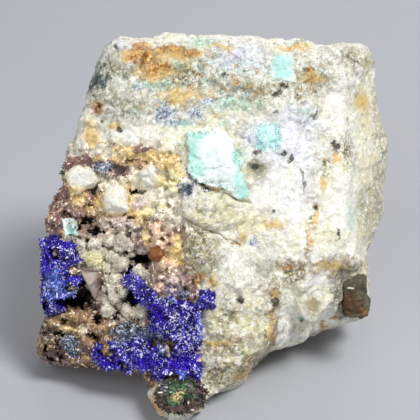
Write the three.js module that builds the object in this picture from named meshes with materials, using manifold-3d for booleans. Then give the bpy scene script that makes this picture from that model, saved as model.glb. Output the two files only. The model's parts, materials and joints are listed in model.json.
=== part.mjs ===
// A linarite specimen: a blocky chunk of iron-stained quartz and brown gossan, with sheets of blue linarite
// crystals and plates of pale copper minerals grown on its front. Millimetres, +Z up. It stands on its flat
// base, with its front to -Y.
import * as THREE from "three";
import { mergeVertices } from "three/addons/utils/BufferGeometryUtils.js";
import { ImprovedNoise } from "three/addons/math/ImprovedNoise.js";
import Module from "manifold-3d";

const wasm = await Module();
wasm.setup();

// The front face leans back. Places on it are [across, up, out], with across to the right, up along the
// leaning face and out of it, all measured from the tip of the knob at the foot.
const FACE_LEAN = THREE.MathUtils.degToRad(28);
const FACE_TO_PART = new THREE.Matrix4().makeRotationX(Math.PI / 2 - FACE_LEAN);

const GAP = 0.32; // between the rock and what has grown on it
const CRUST = 0.85; // thickness of a sheet of linarite
const PLATE = 0.75; // thickness of the turquoise plate
const FILM = 0.45; // thickness of the small aqua and mint patches

const HEART = new THREE.Vector3(0, 18, -10); // middle of the chunk, which every face is seen from
const EDGE_SHARPNESS = 70; // a higher value rounds the edges between the faces less
const ROCK_DETAIL = 14; // how finely the rock's ball is divided
const LUMP_DETAIL = 3; // and a grain's
const RELIEF_WAVELENGTH = 6.5; // of the rock's broken surface
const FRONT_ROUGHNESS = 0.45; // height of the rock's broken relief on the front
const BACK_ROUGHNESS = 0.95; // and at the back
const CRUST_WAVELENGTH = 1.7; // of the lumps on a sheet of crystals
const IN_FRONT = 8; // a height above the face that nothing on it reaches
const BEHIND = -7; // a depth behind the face that every sheet's outline is cut from
const FRONT_DRAFT = 0.08; // how the sides close in towards the front, as a slope
const BACK_DRAFT = 0.3; // and towards the back

// The outline of the chunk as seen square to its front.
const OUTLINE = [
  [-3.0, -0.2],
  [-1.0, 0.0],
  [-0.3, 0.9],
  [2.0, 1.9],
  [3.9, 3.6],
  [4.8, 5.0],
  [8.5, 6.1],
  [11.9, 7.2],
  [14.6, 8.8],
  [15.0, 12.7],
  [15.2, 15.5],
  [16.5, 19.2],
  [17.6, 22.8],
  [17.0, 27.0],
  [15.9, 29.0],
  [15.8, 33.3],
  [14.9, 34.3],
  [12.6, 34.4],
  [11.7, 33.9],
  [4.7, 34.9],
  [-4.2, 35.4],
  [-9.8, 34.8],
  [-10.9, 32.3],
  [-11.5, 29.8],
  [-12.2, 29.0],
  [-13.0, 24.9],
  [-14.3, 23.2],
  [-14.2, 20.9],
  [-15.6, 18.4],
  [-15.3, 13.8],
  [-15.1, 10.2],
  [-15.5, 8.4],
  [-16.9, 5.8],
  [-16.4, 4.1],
  [-15.2, 3.6],
  [-10.2, 3.3],
  [-6.2, 3.0],
  [-5.6, 1.9],
  [-4.4, 0.2],
];

// A flat broken face, by its outward direction and a point on it.
function brokenFace(out, through) {
  const normal = new THREE.Vector3(...out).normalize();
  return { normal, reach: normal.dot(new THREE.Vector3(...through).sub(HEART)) };
}

const BROKEN_FACES = [
  brokenFace([-0.06, 0.12, 1], [0, 25, 0.1]), // upper front
  brokenFace([0.13, 0.02, 1], [6, 19, 0]), // right of the front
  brokenFace([0.02, -0.05, 1], [1.5, 12, 0.1]), // lower front
  brokenFace([-0.3, -0.04, 1], [-3, 13, 0.2]), // gossan, turned to the left
  brokenFace([-0.3, 0.24, 1], [-8, 29, -0.6]), // upper left
  brokenFace([0.9, 0.02, 0.42], [12.2, 20, -0.6]), // right side
  brokenFace([-0.1, 0.95, 0.16], [0, 35, -1.5]), // top
  brokenFace([0.1, 0.25, -1], [0, 20, -21]), // back
  brokenFace([-0.25, -0.2, -1], [-4, 12, -20.5]), // lower back
  brokenFace([-0.75, 0.1, -0.66], [-12.5, 18, -16]), // back left
  brokenFace([0.7, 0.3, -0.62], [14, 20, -17]), // back right
  brokenFace([0.05, 0.8, -0.6], [0, 33, -14]), // back top
  brokenFace([-0.6, 0.6, -0.4], [-10.5, 31, -12]), // back top left
];

// The corner broken out at the lower right: the rock ends at whichever of these two faces lies further out.
const BROKEN_CORNER = [
  brokenFace([0.3, -0.6, 0.8], [8, 14, -0.3]),
  brokenFace([0.9, -0.24, 0.4], [5.6, 9, -0.4]),
];

// The gossan lies lower than the quartz around it, inside this outline.
const GOSSAN = [
  [-20, 24.4],
  [-9.0, 24.6],
  [-5.4, 24.3],
  [-2.9, 23.3],
  [-2.5, 19.6],
  [-1.2, 15.0],
  [-0.3, 10.8],
  [-0.2, 4.0],
  [-1.5, 3.2],
  [-6.0, 2.6],
  [-20, 2.0],
];
const GOSSAN_DEPTH = 1.0;
const GOSSAN_RIM = 1.1; // width of the slope down into it

// Directions that turn further than this from a face can't reach it.
const GRAZING = 0.02;
const MERGE = 1e-4; // corners closer than this are one

const noise = new ImprovedNoise();

// Several octaves of noise at a place, from about -1 to 1.
function roughness(place, wavelength, octaves) {
  let sum = 0;
  let weight = 1;
  let scale = 1 / wavelength;
  for (let i = 0; i < octaves; i++) {
    sum += weight * noise.noise(place.x * scale + i * 7.3, place.y * scale, place.z * scale);
    weight *= 0.5;
    scale *= 2;
  }
  return sum;
}

// How far the outline lies from the heart in a direction across the face.
function outlineReach(across, up) {
  let reach = 0;
  OUTLINE.forEach((start, i) => {
    const end = OUTLINE[(i + 1) % OUTLINE.length];
    const [ax, ay] = [start[0] - HEART.x, start[1] - HEART.y];
    const [bx, by] = [end[0] - start[0], end[1] - start[1]];
    const turn = across * by - up * bx;
    if (turn === 0) return;
    const distance = (ax * by - ay * bx) / turn;
    const along = (ax * up - ay * across) / turn;
    if (distance > 0 && along >= 0 && along <= 1) reach = Math.max(reach, distance);
  });
  return reach;
}

// How far inside an outline a place lies, less than 0 outside it.
function depthInside(outline, x, y) {
  let nearest = Infinity;
  let inside = false;
  outline.forEach(([ax, ay], i) => {
    const [bx, by] = outline[(i + 1) % outline.length];
    const share = ((x - ax) * (bx - ax) + (y - ay) * (by - ay)) / ((bx - ax) ** 2 + (by - ay) ** 2);
    const along = THREE.MathUtils.clamp(share, 0, 1);
    nearest = Math.min(nearest, Math.hypot(x - ax - along * (bx - ax), y - ay - along * (by - ay)));
    if (ay > y !== by > y && x < ax + ((y - ay) / (by - ay)) * (bx - ax)) inside = !inside;
  });
  return inside ? nearest : -nearest;
}

const reachTo = ({ normal, reach }, direction) => {
  const facing = normal.dot(direction);
  return facing > GRAZING ? reach / facing : Infinity;
};

// How far the rock's surface lies from the heart in a direction: the nearest of its sides and faces, with
// soft edges.
function rockReach(direction) {
  const flat = Math.hypot(direction.x, direction.y);
  const reaches = BROKEN_FACES.map((face) => reachTo(face, direction));
  reaches.push(Math.max(...BROKEN_CORNER.map((face) => reachTo(face, direction))));
  if (flat > GRAZING) {
    const wall = outlineReach(direction.x / flat, direction.y / flat);
    const draft = direction.z > 0 ? FRONT_DRAFT * direction.z : -BACK_DRAFT * direction.z;
    reaches.push(wall / (flat + draft));
  }
  const sum = reaches.reduce((total, reach) => total + reach ** -EDGE_SHARPNESS, 0);
  return sum ** (-1 / EDGE_SHARPNESS);
}

// Only the corners of a geometry, shared between its triangles, so that it can be reshaped and made solid.
function shared(geometry) {
  const bare = geometry.index ? geometry.toNonIndexed() : geometry;
  const corners = new THREE.BufferGeometry().setAttribute("position", bare.getAttribute("position"));
  return mergeVertices(corners, MERGE);
}

// Moves every corner of a geometry to where reshape puts it.
function reshaped(geometry, reshape) {
  const position = geometry.getAttribute("position");
  const corner = new THREE.Vector3();
  for (let i = 0; i < position.count; i++) {
    corner.fromBufferAttribute(position, i);
    position.setXYZ(i, ...reshape(corner, i));
  }
  return geometry;
}

function solidOf(geometry) {
  const mesh = shared(geometry);
  return new wasm.Manifold(
    new wasm.Mesh({
      numProp: 3,
      vertProperties: mesh.getAttribute("position").array,
      triVerts: new Uint32Array(mesh.index.array),
    }),
  );
}

// The biggest body of a solid: a cut can leave slivers beside it.
function biggest(solid) {
  return solid.decompose().reduce((best, body) => (body.volume() > best.volume() ? body : best));
}

function geometryOf(solid) {
  const { vertProperties, triVerts, numProp, numVert } = solid.getMesh();
  const position = new Float32Array(numVert * 3);
  for (let i = 0; i < numVert; i++) {
    position.set(vertProperties.subarray(i * numProp, i * numProp + 3), i * 3);
  }
  return new THREE.BufferGeometry()
    .setAttribute("position", new THREE.BufferAttribute(position, 3))
    .setIndex(new THREE.BufferAttribute(new Uint32Array(triVerts), 1));
}

// The broken surface of the chunk, before hollows and base are cut.
function brokenChunk() {
  const sphere = shared(new THREE.IcosahedronGeometry(1, ROCK_DETAIL));
  return reshaped(sphere, (direction) => {
    const place = direction.clone().multiplyScalar(rockReach(direction)).add(HEART);
    const behind = THREE.MathUtils.smoothstep(-direction.z, 0.1, 0.6);
    const relief = THREE.MathUtils.lerp(FRONT_ROUGHNESS, BACK_ROUGHNESS, behind);
    const rough = relief * roughness(place, RELIEF_WAVELENGTH, 3);
    const sunk = THREE.MathUtils.smoothstep(depthInside(GOSSAN, place.x, place.y), 0, GOSSAN_RIM);
    const facing = Math.max(direction.z, 0);
    return place.addScaledVector(direction, rough - GOSSAN_DEPTH * sunk * facing);
  });
}

// The chunk's surface moved outwards along its own normals, by a depth or by one that depends on the place.
function grown(chunk, depth) {
  const copy = chunk.clone();
  copy.computeVertexNormals();
  const normals = copy.getAttribute("normal");
  const normal = new THREE.Vector3();
  return reshaped(copy, (place, i) => {
    normal.fromBufferAttribute(normals, i);
    const amount = typeof depth === "function" ? depth(place) : depth;
    return place.clone().addScaledVector(normal, amount);
  });
}

// The knob at the foot: where its middle is, and its half sizes.
const KNOB = { at: [-2.9, 1.8, -0.9], radii: [2.45, 1.95, 2.2], detail: 4, rough: 0.14 };

const chunk = brokenChunk();

// A column standing on an outline of the front face, from a depth behind the face to well in front of it.
function column(outline, back) {
  const shape = new THREE.Shape(outline.map(([across, up]) => new THREE.Vector2(across, up)));
  const settings = { depth: IN_FRONT - back, bevelEnabled: false };
  return solidOf(new THREE.ExtrudeGeometry(shape, settings).translate(0, 0, back));
}

// A sheet grown on the chunk inside an outline: its underside follows the rock at the gap and its top is
// lumpy.
function sheet(outline, thickness, lumps) {
  const top = (place) => GAP + thickness + lumps * roughness(place, CRUST_WAVELENGTH, 2);
  const skin = solidOf(grown(chunk, top)).add(solidOf(grown(lump(KNOB), top)));
  return biggest(column(outline, BEHIND).intersect(skin).subtract(clearance));
}

// A grain or lump: a rough ball, flattened by its own faces.
function lump({ at, radii, turn = 0, detail = LUMP_DETAIL, rough = 0.12, faces = [] }) {
  const flats = faces.map(([x, y, z, reach]) => {
    return { normal: new THREE.Vector3(x, y, z).normalize(), reach };
  });
  const ball = reshaped(shared(new THREE.IcosahedronGeometry(1, detail)), (direction) => {
    const reaches = flats
      .filter(({ normal }) => normal.dot(direction) > GRAZING)
      .map(({ normal, reach }) => reach / normal.dot(direction));
    const reach = Math.min(1, ...reaches) * (1 + rough * roughness(direction, 0.8, 2));
    return direction.clone().multiplyScalar(reach);
  });
  return ball.scale(...radii).rotateZ(turn).translate(...at);
}

const clearance = solidOf(grown(chunk, GAP)).add(solidOf(grown(lump(KNOB), GAP)));
const target = new THREE.Mesh(chunk, new THREE.MeshBasicMaterial());

// A place on the front of the chunk, sunk below its surface by a depth.
function onFront(across, up, sunk = 0) {
  const probe = new THREE.Raycaster(new THREE.Vector3(across, up, IN_FRONT), new THREE.Vector3(0, 0, -1));
  const [hit] = probe.intersectObject(target);
  return [across, up, hit.point.z - sunk];
}

// The black hollows between the lumps of the gossan.
const HOLLOWS = [
  { at: onFront(-11.9, 9.9), radii: [2.0, 0.75, 1.6] },
  { at: onFront(-6.3, 14.5), radii: [1.3, 0.7, 1.5] },
  { at: onFront(-7.0, 11.2), radii: [0.6, 0.9, 1.4] },
  { at: onFront(-10.9, 17.0), radii: [0.7, 1.1, 1.3] },
  { at: onFront(-10.6, 20.2), radii: [0.6, 1.0, 1.2] },
  { at: onFront(-6.5, 20.0), radii: [0.5, 0.7, 1.1] },
];

function hostRock() {
  const hollows = HOLLOWS.map((hollow) => solidOf(lump({ ...hollow, detail: 2, rough: 0.2 })));
  return hollows.reduce((rock, hollow) => rock.subtract(hollow), solidOf(chunk)).add(solidOf(lump(KNOB)));
}

// A grain or lump on the front, with its foot cut away along the rock.
const seated = (settings) => biggest(solidOf(lump(settings)).subtract(clearance));

const MAIN_CRUST = [
  [-5.0, 11.0],
  [-3.8, 10.5],
  [-2.4, 10.6],
  [-1.7, 10.2],
  [-0.9, 9.2],
  [-0.5, 7.6],
  [-0.5, 5.8],
  [-0.7, 4.4],
  [-1.9, 4.0],
  [-4.9, 4.0],
  [-5.9, 4.4],
  [-8.8, 4.5],
  [-10.6, 4.9],
  [-10.7, 5.8],
  [-9.5, 6.1],
  [-7.9, 6.5],
  [-6.5, 7.2],
  [-5.3, 7.9],
  [-4.9, 8.7],
  [-5.2, 9.9],
];
const EDGE_CRUST = [
  [-16.2, 15.6],
  [-13.9, 16.0],
  [-12.2, 15.6],
  [-12.0, 14.5],
  [-12.8, 13.6],
  [-12.2, 12.3],
  [-12.5, 11.2],
  [-13.6, 10.6],
  [-14.4, 9.0],
  [-15.3, 9.6],
  [-16.2, 12.4],
];
const VUG_CLUSTER = [
  [-7.5, 12.2],
  [-6.5, 12.6],
  [-5.6, 11.6],
  [-5.6, 10.6],
  [-6.6, 10.4],
];
const SMALL_CLUSTER = [
  [-1.1, 10.9],
  [-0.5, 11.3],
  [0.4, 11.0],
  [0.1, 10.1],
  [-0.6, 9.8],
];
const KNOB_CRUST = [
  [-4.7, 2.5],
  [-3.8, 3.2],
  [-1.2, 3.2],
  [-0.6, 2.4],
  [-0.9, 1.3],
  [-2.2, 0.9],
  [-3.8, 1.0],
  [-4.5, 1.6],
];
const TURQUOISE_PLATE = [
  [-2.1, 25.6],
  [1.3, 25.9],
  [1.9, 25.1],
  [2.5, 23.3],
  [3.4, 19.8],
  [2.7, 19.6],
  [1.3, 20.5],
  [-0.6, 21.0],
  [-2.1, 21.9],
];
const UPPER_AQUA = [
  [5.4, 32.5],
  [7.3, 32.6],
  [7.5, 30.3],
  [5.6, 30.4],
];
const SPECKLED_AQUA = [
  [4.0, 26.5],
  [6.2, 26.6],
  [6.5, 24.2],
  [4.1, 24.0],
];
const MINT_PATCH = [
  [-13.6, 17.8],
  [-12.8, 18.0],
  [-12.2, 17.6],
  [-12.3, 16.4],
  [-13.4, 16.5],
];

const PYRAMID_FACES = [
  [0.9, 0.5, 0.75, 0.55],
  [-0.9, 0.6, 0.75, 0.55],
  [0.1, -1, 0.8, 0.55],
];
const ROSE_CRYSTAL = {
  at: onFront(-10.9, 12.6, 0.1),
  radii: [1.2, 1.4, 2.0],
  faces: PYRAMID_FACES,
  rough: 0.04,
};

// The lumps of the grey cluster lie along rows that follow each other up the gossan.
const GREY_ROWS = [
  { up: 10.6, from: -10.2, to: -6.6, count: 4, radius: 0.95 },
  { up: 12.2, from: -9.6, to: -8.2, count: 2, radius: 0.95 },
  { up: 13.4, from: -9.4, to: -6.2, count: 4, radius: 1.0 },
  { up: 15.0, from: -11.2, to: -7.4, count: 4, radius: 0.95 },
];

function greyLumps() {
  const lumps = GREY_ROWS.flatMap(({ up, from, to, count, radius }) =>
    Array.from({ length: count }, (_, i) => {
      const across = THREE.MathUtils.lerp(from, to, i / (count - 1));
      const wobble = 0.3 * Math.sin(5 * across + up);
      const size = radius * (1 + 0.18 * Math.sin(7 * across));
      const radii = [size, size * 0.8, size];
      return solidOf(lump({ at: onFront(across, up + wobble), radii, detail: 1, turn: across }));
    }),
  );
  const joined = lumps.reduce((all, one) => all.add(one)).subtract(clearance);
  return biggest(joined.subtract(solidOf(grown(lump(ROSE_CRYSTAL), GAP))));
}

// Flat facets that square off a lump, each as a direction and its reach as a share of the lump's radius.
const BLOCK_FACES = [
  [0.1, 0.2, 1, 0.72],
  [1, 0.1, 0.1, 0.8],
  [-1, 0.15, 0.2, 0.8],
  [0.1, 1, 0.2, 0.78],
  [-0.1, -1, 0.1, 0.78],
];

// Each piece in its own material: what it is made as, its colour and its roughness.
const PIECES = {
  host_rock: { solid: hostRock(), colour: 0xd9d2be, roughness: 0.7 },
  linarite_main_crust: { solid: sheet(MAIN_CRUST, CRUST, 0.3), colour: 0x2410b4, roughness: 0.3 },
  linarite_edge_crust: { solid: sheet(EDGE_CRUST, CRUST, 0.3), colour: 0x2a1cc0, roughness: 0.3 },
  linarite_vug_cluster: { solid: sheet(VUG_CLUSTER, CRUST, 0.2), colour: 0x2612a8, roughness: 0.3 },
  linarite_small_cluster: { solid: sheet(SMALL_CLUSTER, CRUST, 0.1), colour: 0x2612a8, roughness: 0.3 },
  knob_crust: { solid: sheet(KNOB_CRUST, FILM, 0.15), colour: 0x35584a, roughness: 0.6 },
  turquoise_plate: { solid: sheet(TURQUOISE_PLATE, PLATE, 0.12), colour: 0xc4f0ea, roughness: 0.5 },
  aqua_patch_upper: { solid: sheet(UPPER_AQUA, FILM, 0.08), colour: 0xa5e2d6, roughness: 0.6 },
  aqua_patch_speckled: { solid: sheet(SPECKLED_AQUA, FILM, 0.08), colour: 0x9fd0dc, roughness: 0.6 },
  mint_patch: { solid: sheet(MINT_PATCH, FILM, 0.1), colour: 0xa8e6cf, roughness: 0.6 },
  cream_grain_upper: {
    solid: seated({ at: onFront(-11.8, 21.2, 0.3), radii: [1.5, 1.5, 1.2] }),
    colour: 0xf0e8d4,
    roughness: 0.4,
  },
  cream_grain_lower: {
    solid: seated({ at: onFront(-8.6, 19.4, 0.3), radii: [1.3, 1.3, 1.1] }),
    colour: 0xefe6ce,
    roughness: 0.4,
  },
  cream_grain_inner: {
    solid: seated({ at: onFront(-4.7, 21.2, 0.3), radii: [1.9, 1.4, 1.1] }),
    colour: 0xefe0bd,
    roughness: 0.4,
  },
  white_quartz_lump: {
    solid: seated({ at: onFront(9.2, 11.7, 0.4), radii: [2.5, 1.5, 1.3] }),
    colour: 0xecebe2,
    roughness: 0.35,
  },
  rose_crystal: { solid: seated(ROSE_CRYSTAL), colour: 0xb59a94, roughness: 0.45 },
  grey_lump_cluster: { solid: greyLumps(), colour: 0xaaa08c, roughness: 0.7 },
  limonite_lump: {
    solid: seated({ at: onFront(-5.0, 14.9, 0.1), radii: [0.9, 0.8, 0.9] }),
    colour: 0xb0662e,
    roughness: 0.75,
  },
  brown_block: {
    solid: seated({ at: onFront(13.3, 10.9, 0.4), radii: [1.7, 2.3, 2.0], faces: BLOCK_FACES }),
    colour: 0x5f4c30,
    roughness: 0.6,
  },
};

// The ground: everything below the base height is cut off flat, and the base is brought to height 0.
const BASE_HEIGHT = -0.3; // from the tip of the knob
const CENTRE = [0.144, 14.794]; // of the standing chunk, from the tip of the knob
const GROUND_WIDTH = 80; // wider than the chunk
const GROUND_DEPTH = 20; // deeper than anything below the base

function standing(solid) {
  const geometry = geometryOf(solid).applyMatrix4(FACE_TO_PART);
  const ground = new THREE.BoxGeometry(GROUND_WIDTH, GROUND_WIDTH, GROUND_DEPTH);
  ground.translate(0, 0, BASE_HEIGHT - GROUND_DEPTH / 2);
  const cut = biggest(solidOf(geometry).subtract(solidOf(ground)));
  return geometryOf(cut).translate(-CENTRE[0], -CENTRE[1], -BASE_HEIGHT);
}

const specimen = new THREE.Group();
specimen.name = "linarite_specimen";
Object.entries(PIECES).forEach(([name, { solid, colour, roughness: gloss }]) => {
  const material = new THREE.MeshStandardMaterial({ color: colour, roughness: gloss, metalness: 0 });
  const mesh = new THREE.Mesh(standing(solid), material);
  mesh.name = name;
  specimen.add(mesh);
});

export default specimen;
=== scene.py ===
import json
import math
import random

import bmesh
import bpy
import numpy
from mathutils import Matrix, Vector, noise
from mathutils.bvhtree import BVHTree

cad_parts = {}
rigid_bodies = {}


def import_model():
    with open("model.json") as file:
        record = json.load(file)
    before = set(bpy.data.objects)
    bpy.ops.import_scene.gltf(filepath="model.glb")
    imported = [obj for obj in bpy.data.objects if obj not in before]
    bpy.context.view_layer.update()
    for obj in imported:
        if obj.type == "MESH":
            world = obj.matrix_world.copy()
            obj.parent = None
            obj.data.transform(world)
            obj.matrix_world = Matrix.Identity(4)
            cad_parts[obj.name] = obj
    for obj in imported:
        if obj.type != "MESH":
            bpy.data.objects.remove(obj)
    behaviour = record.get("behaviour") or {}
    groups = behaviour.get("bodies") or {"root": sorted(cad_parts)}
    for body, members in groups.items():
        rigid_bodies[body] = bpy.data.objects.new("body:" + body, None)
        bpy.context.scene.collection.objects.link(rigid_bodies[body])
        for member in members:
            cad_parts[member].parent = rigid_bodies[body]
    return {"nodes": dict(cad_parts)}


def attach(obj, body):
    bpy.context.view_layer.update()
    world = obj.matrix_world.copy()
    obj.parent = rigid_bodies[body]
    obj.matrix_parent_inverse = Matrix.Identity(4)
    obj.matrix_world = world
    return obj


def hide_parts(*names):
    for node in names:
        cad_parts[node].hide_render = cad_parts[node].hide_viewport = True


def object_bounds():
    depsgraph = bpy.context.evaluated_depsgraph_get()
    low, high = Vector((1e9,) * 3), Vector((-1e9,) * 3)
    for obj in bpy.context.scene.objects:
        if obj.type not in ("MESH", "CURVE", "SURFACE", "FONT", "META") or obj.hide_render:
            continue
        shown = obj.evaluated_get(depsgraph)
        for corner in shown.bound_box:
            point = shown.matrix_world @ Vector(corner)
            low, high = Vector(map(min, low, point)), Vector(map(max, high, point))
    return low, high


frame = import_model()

bl_info = {
    "name": "Linarite Specimen",
    "version": (1, 0, 0),
    "blender": (4, 5, 0),
    "location": "3D View > Sidebar > Specimen",
    "description": "Builds a chunk of quartz and gossan with blue linarite crusts around its CAD frame",
    "category": "Add Mesh",
}

MM = 0.001
CAD_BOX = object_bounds()

# Without this, the noise that bends and tilts the relief would differ from run to run.
noise.seed_set(1)

# The front of the chunk leans back. Places on it are (across, up, out) in millimetres from the tip of the
# knob at the foot, as in the CAD model: across to the right, up along the leaning face, and out of it.
FACE_LEAN = math.radians(28)
FACE_FOOT = Vector((-0.144, -14.794, 0.3)) * MM
FACE_AXES = Matrix(
    (
        (1, 0, 0),
        (0, math.sin(FACE_LEAN), math.cos(FACE_LEAN)),
        (0, -math.cos(FACE_LEAN), math.sin(FACE_LEAN)),
    )
)
FACE_RIGHT, FACE_UP, FACE_OUT = FACE_AXES
IN_FRONT = 12  # a height above the face that nothing on it reaches, in millimetres

# The outline of the brown gossan on the front, close to the one in the CAD model.
GOSSAN = (
    (-20, 24.4), (-9, 24.6), (-5.4, 24.3), (-2.9, 23.3), (-2.6, 19.6), (-2, 15), (-1.3, 10.8), (-1.2, 4),
    (-1.9, 3.2), (-6, 2.6), (-20, 2),
)

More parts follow.
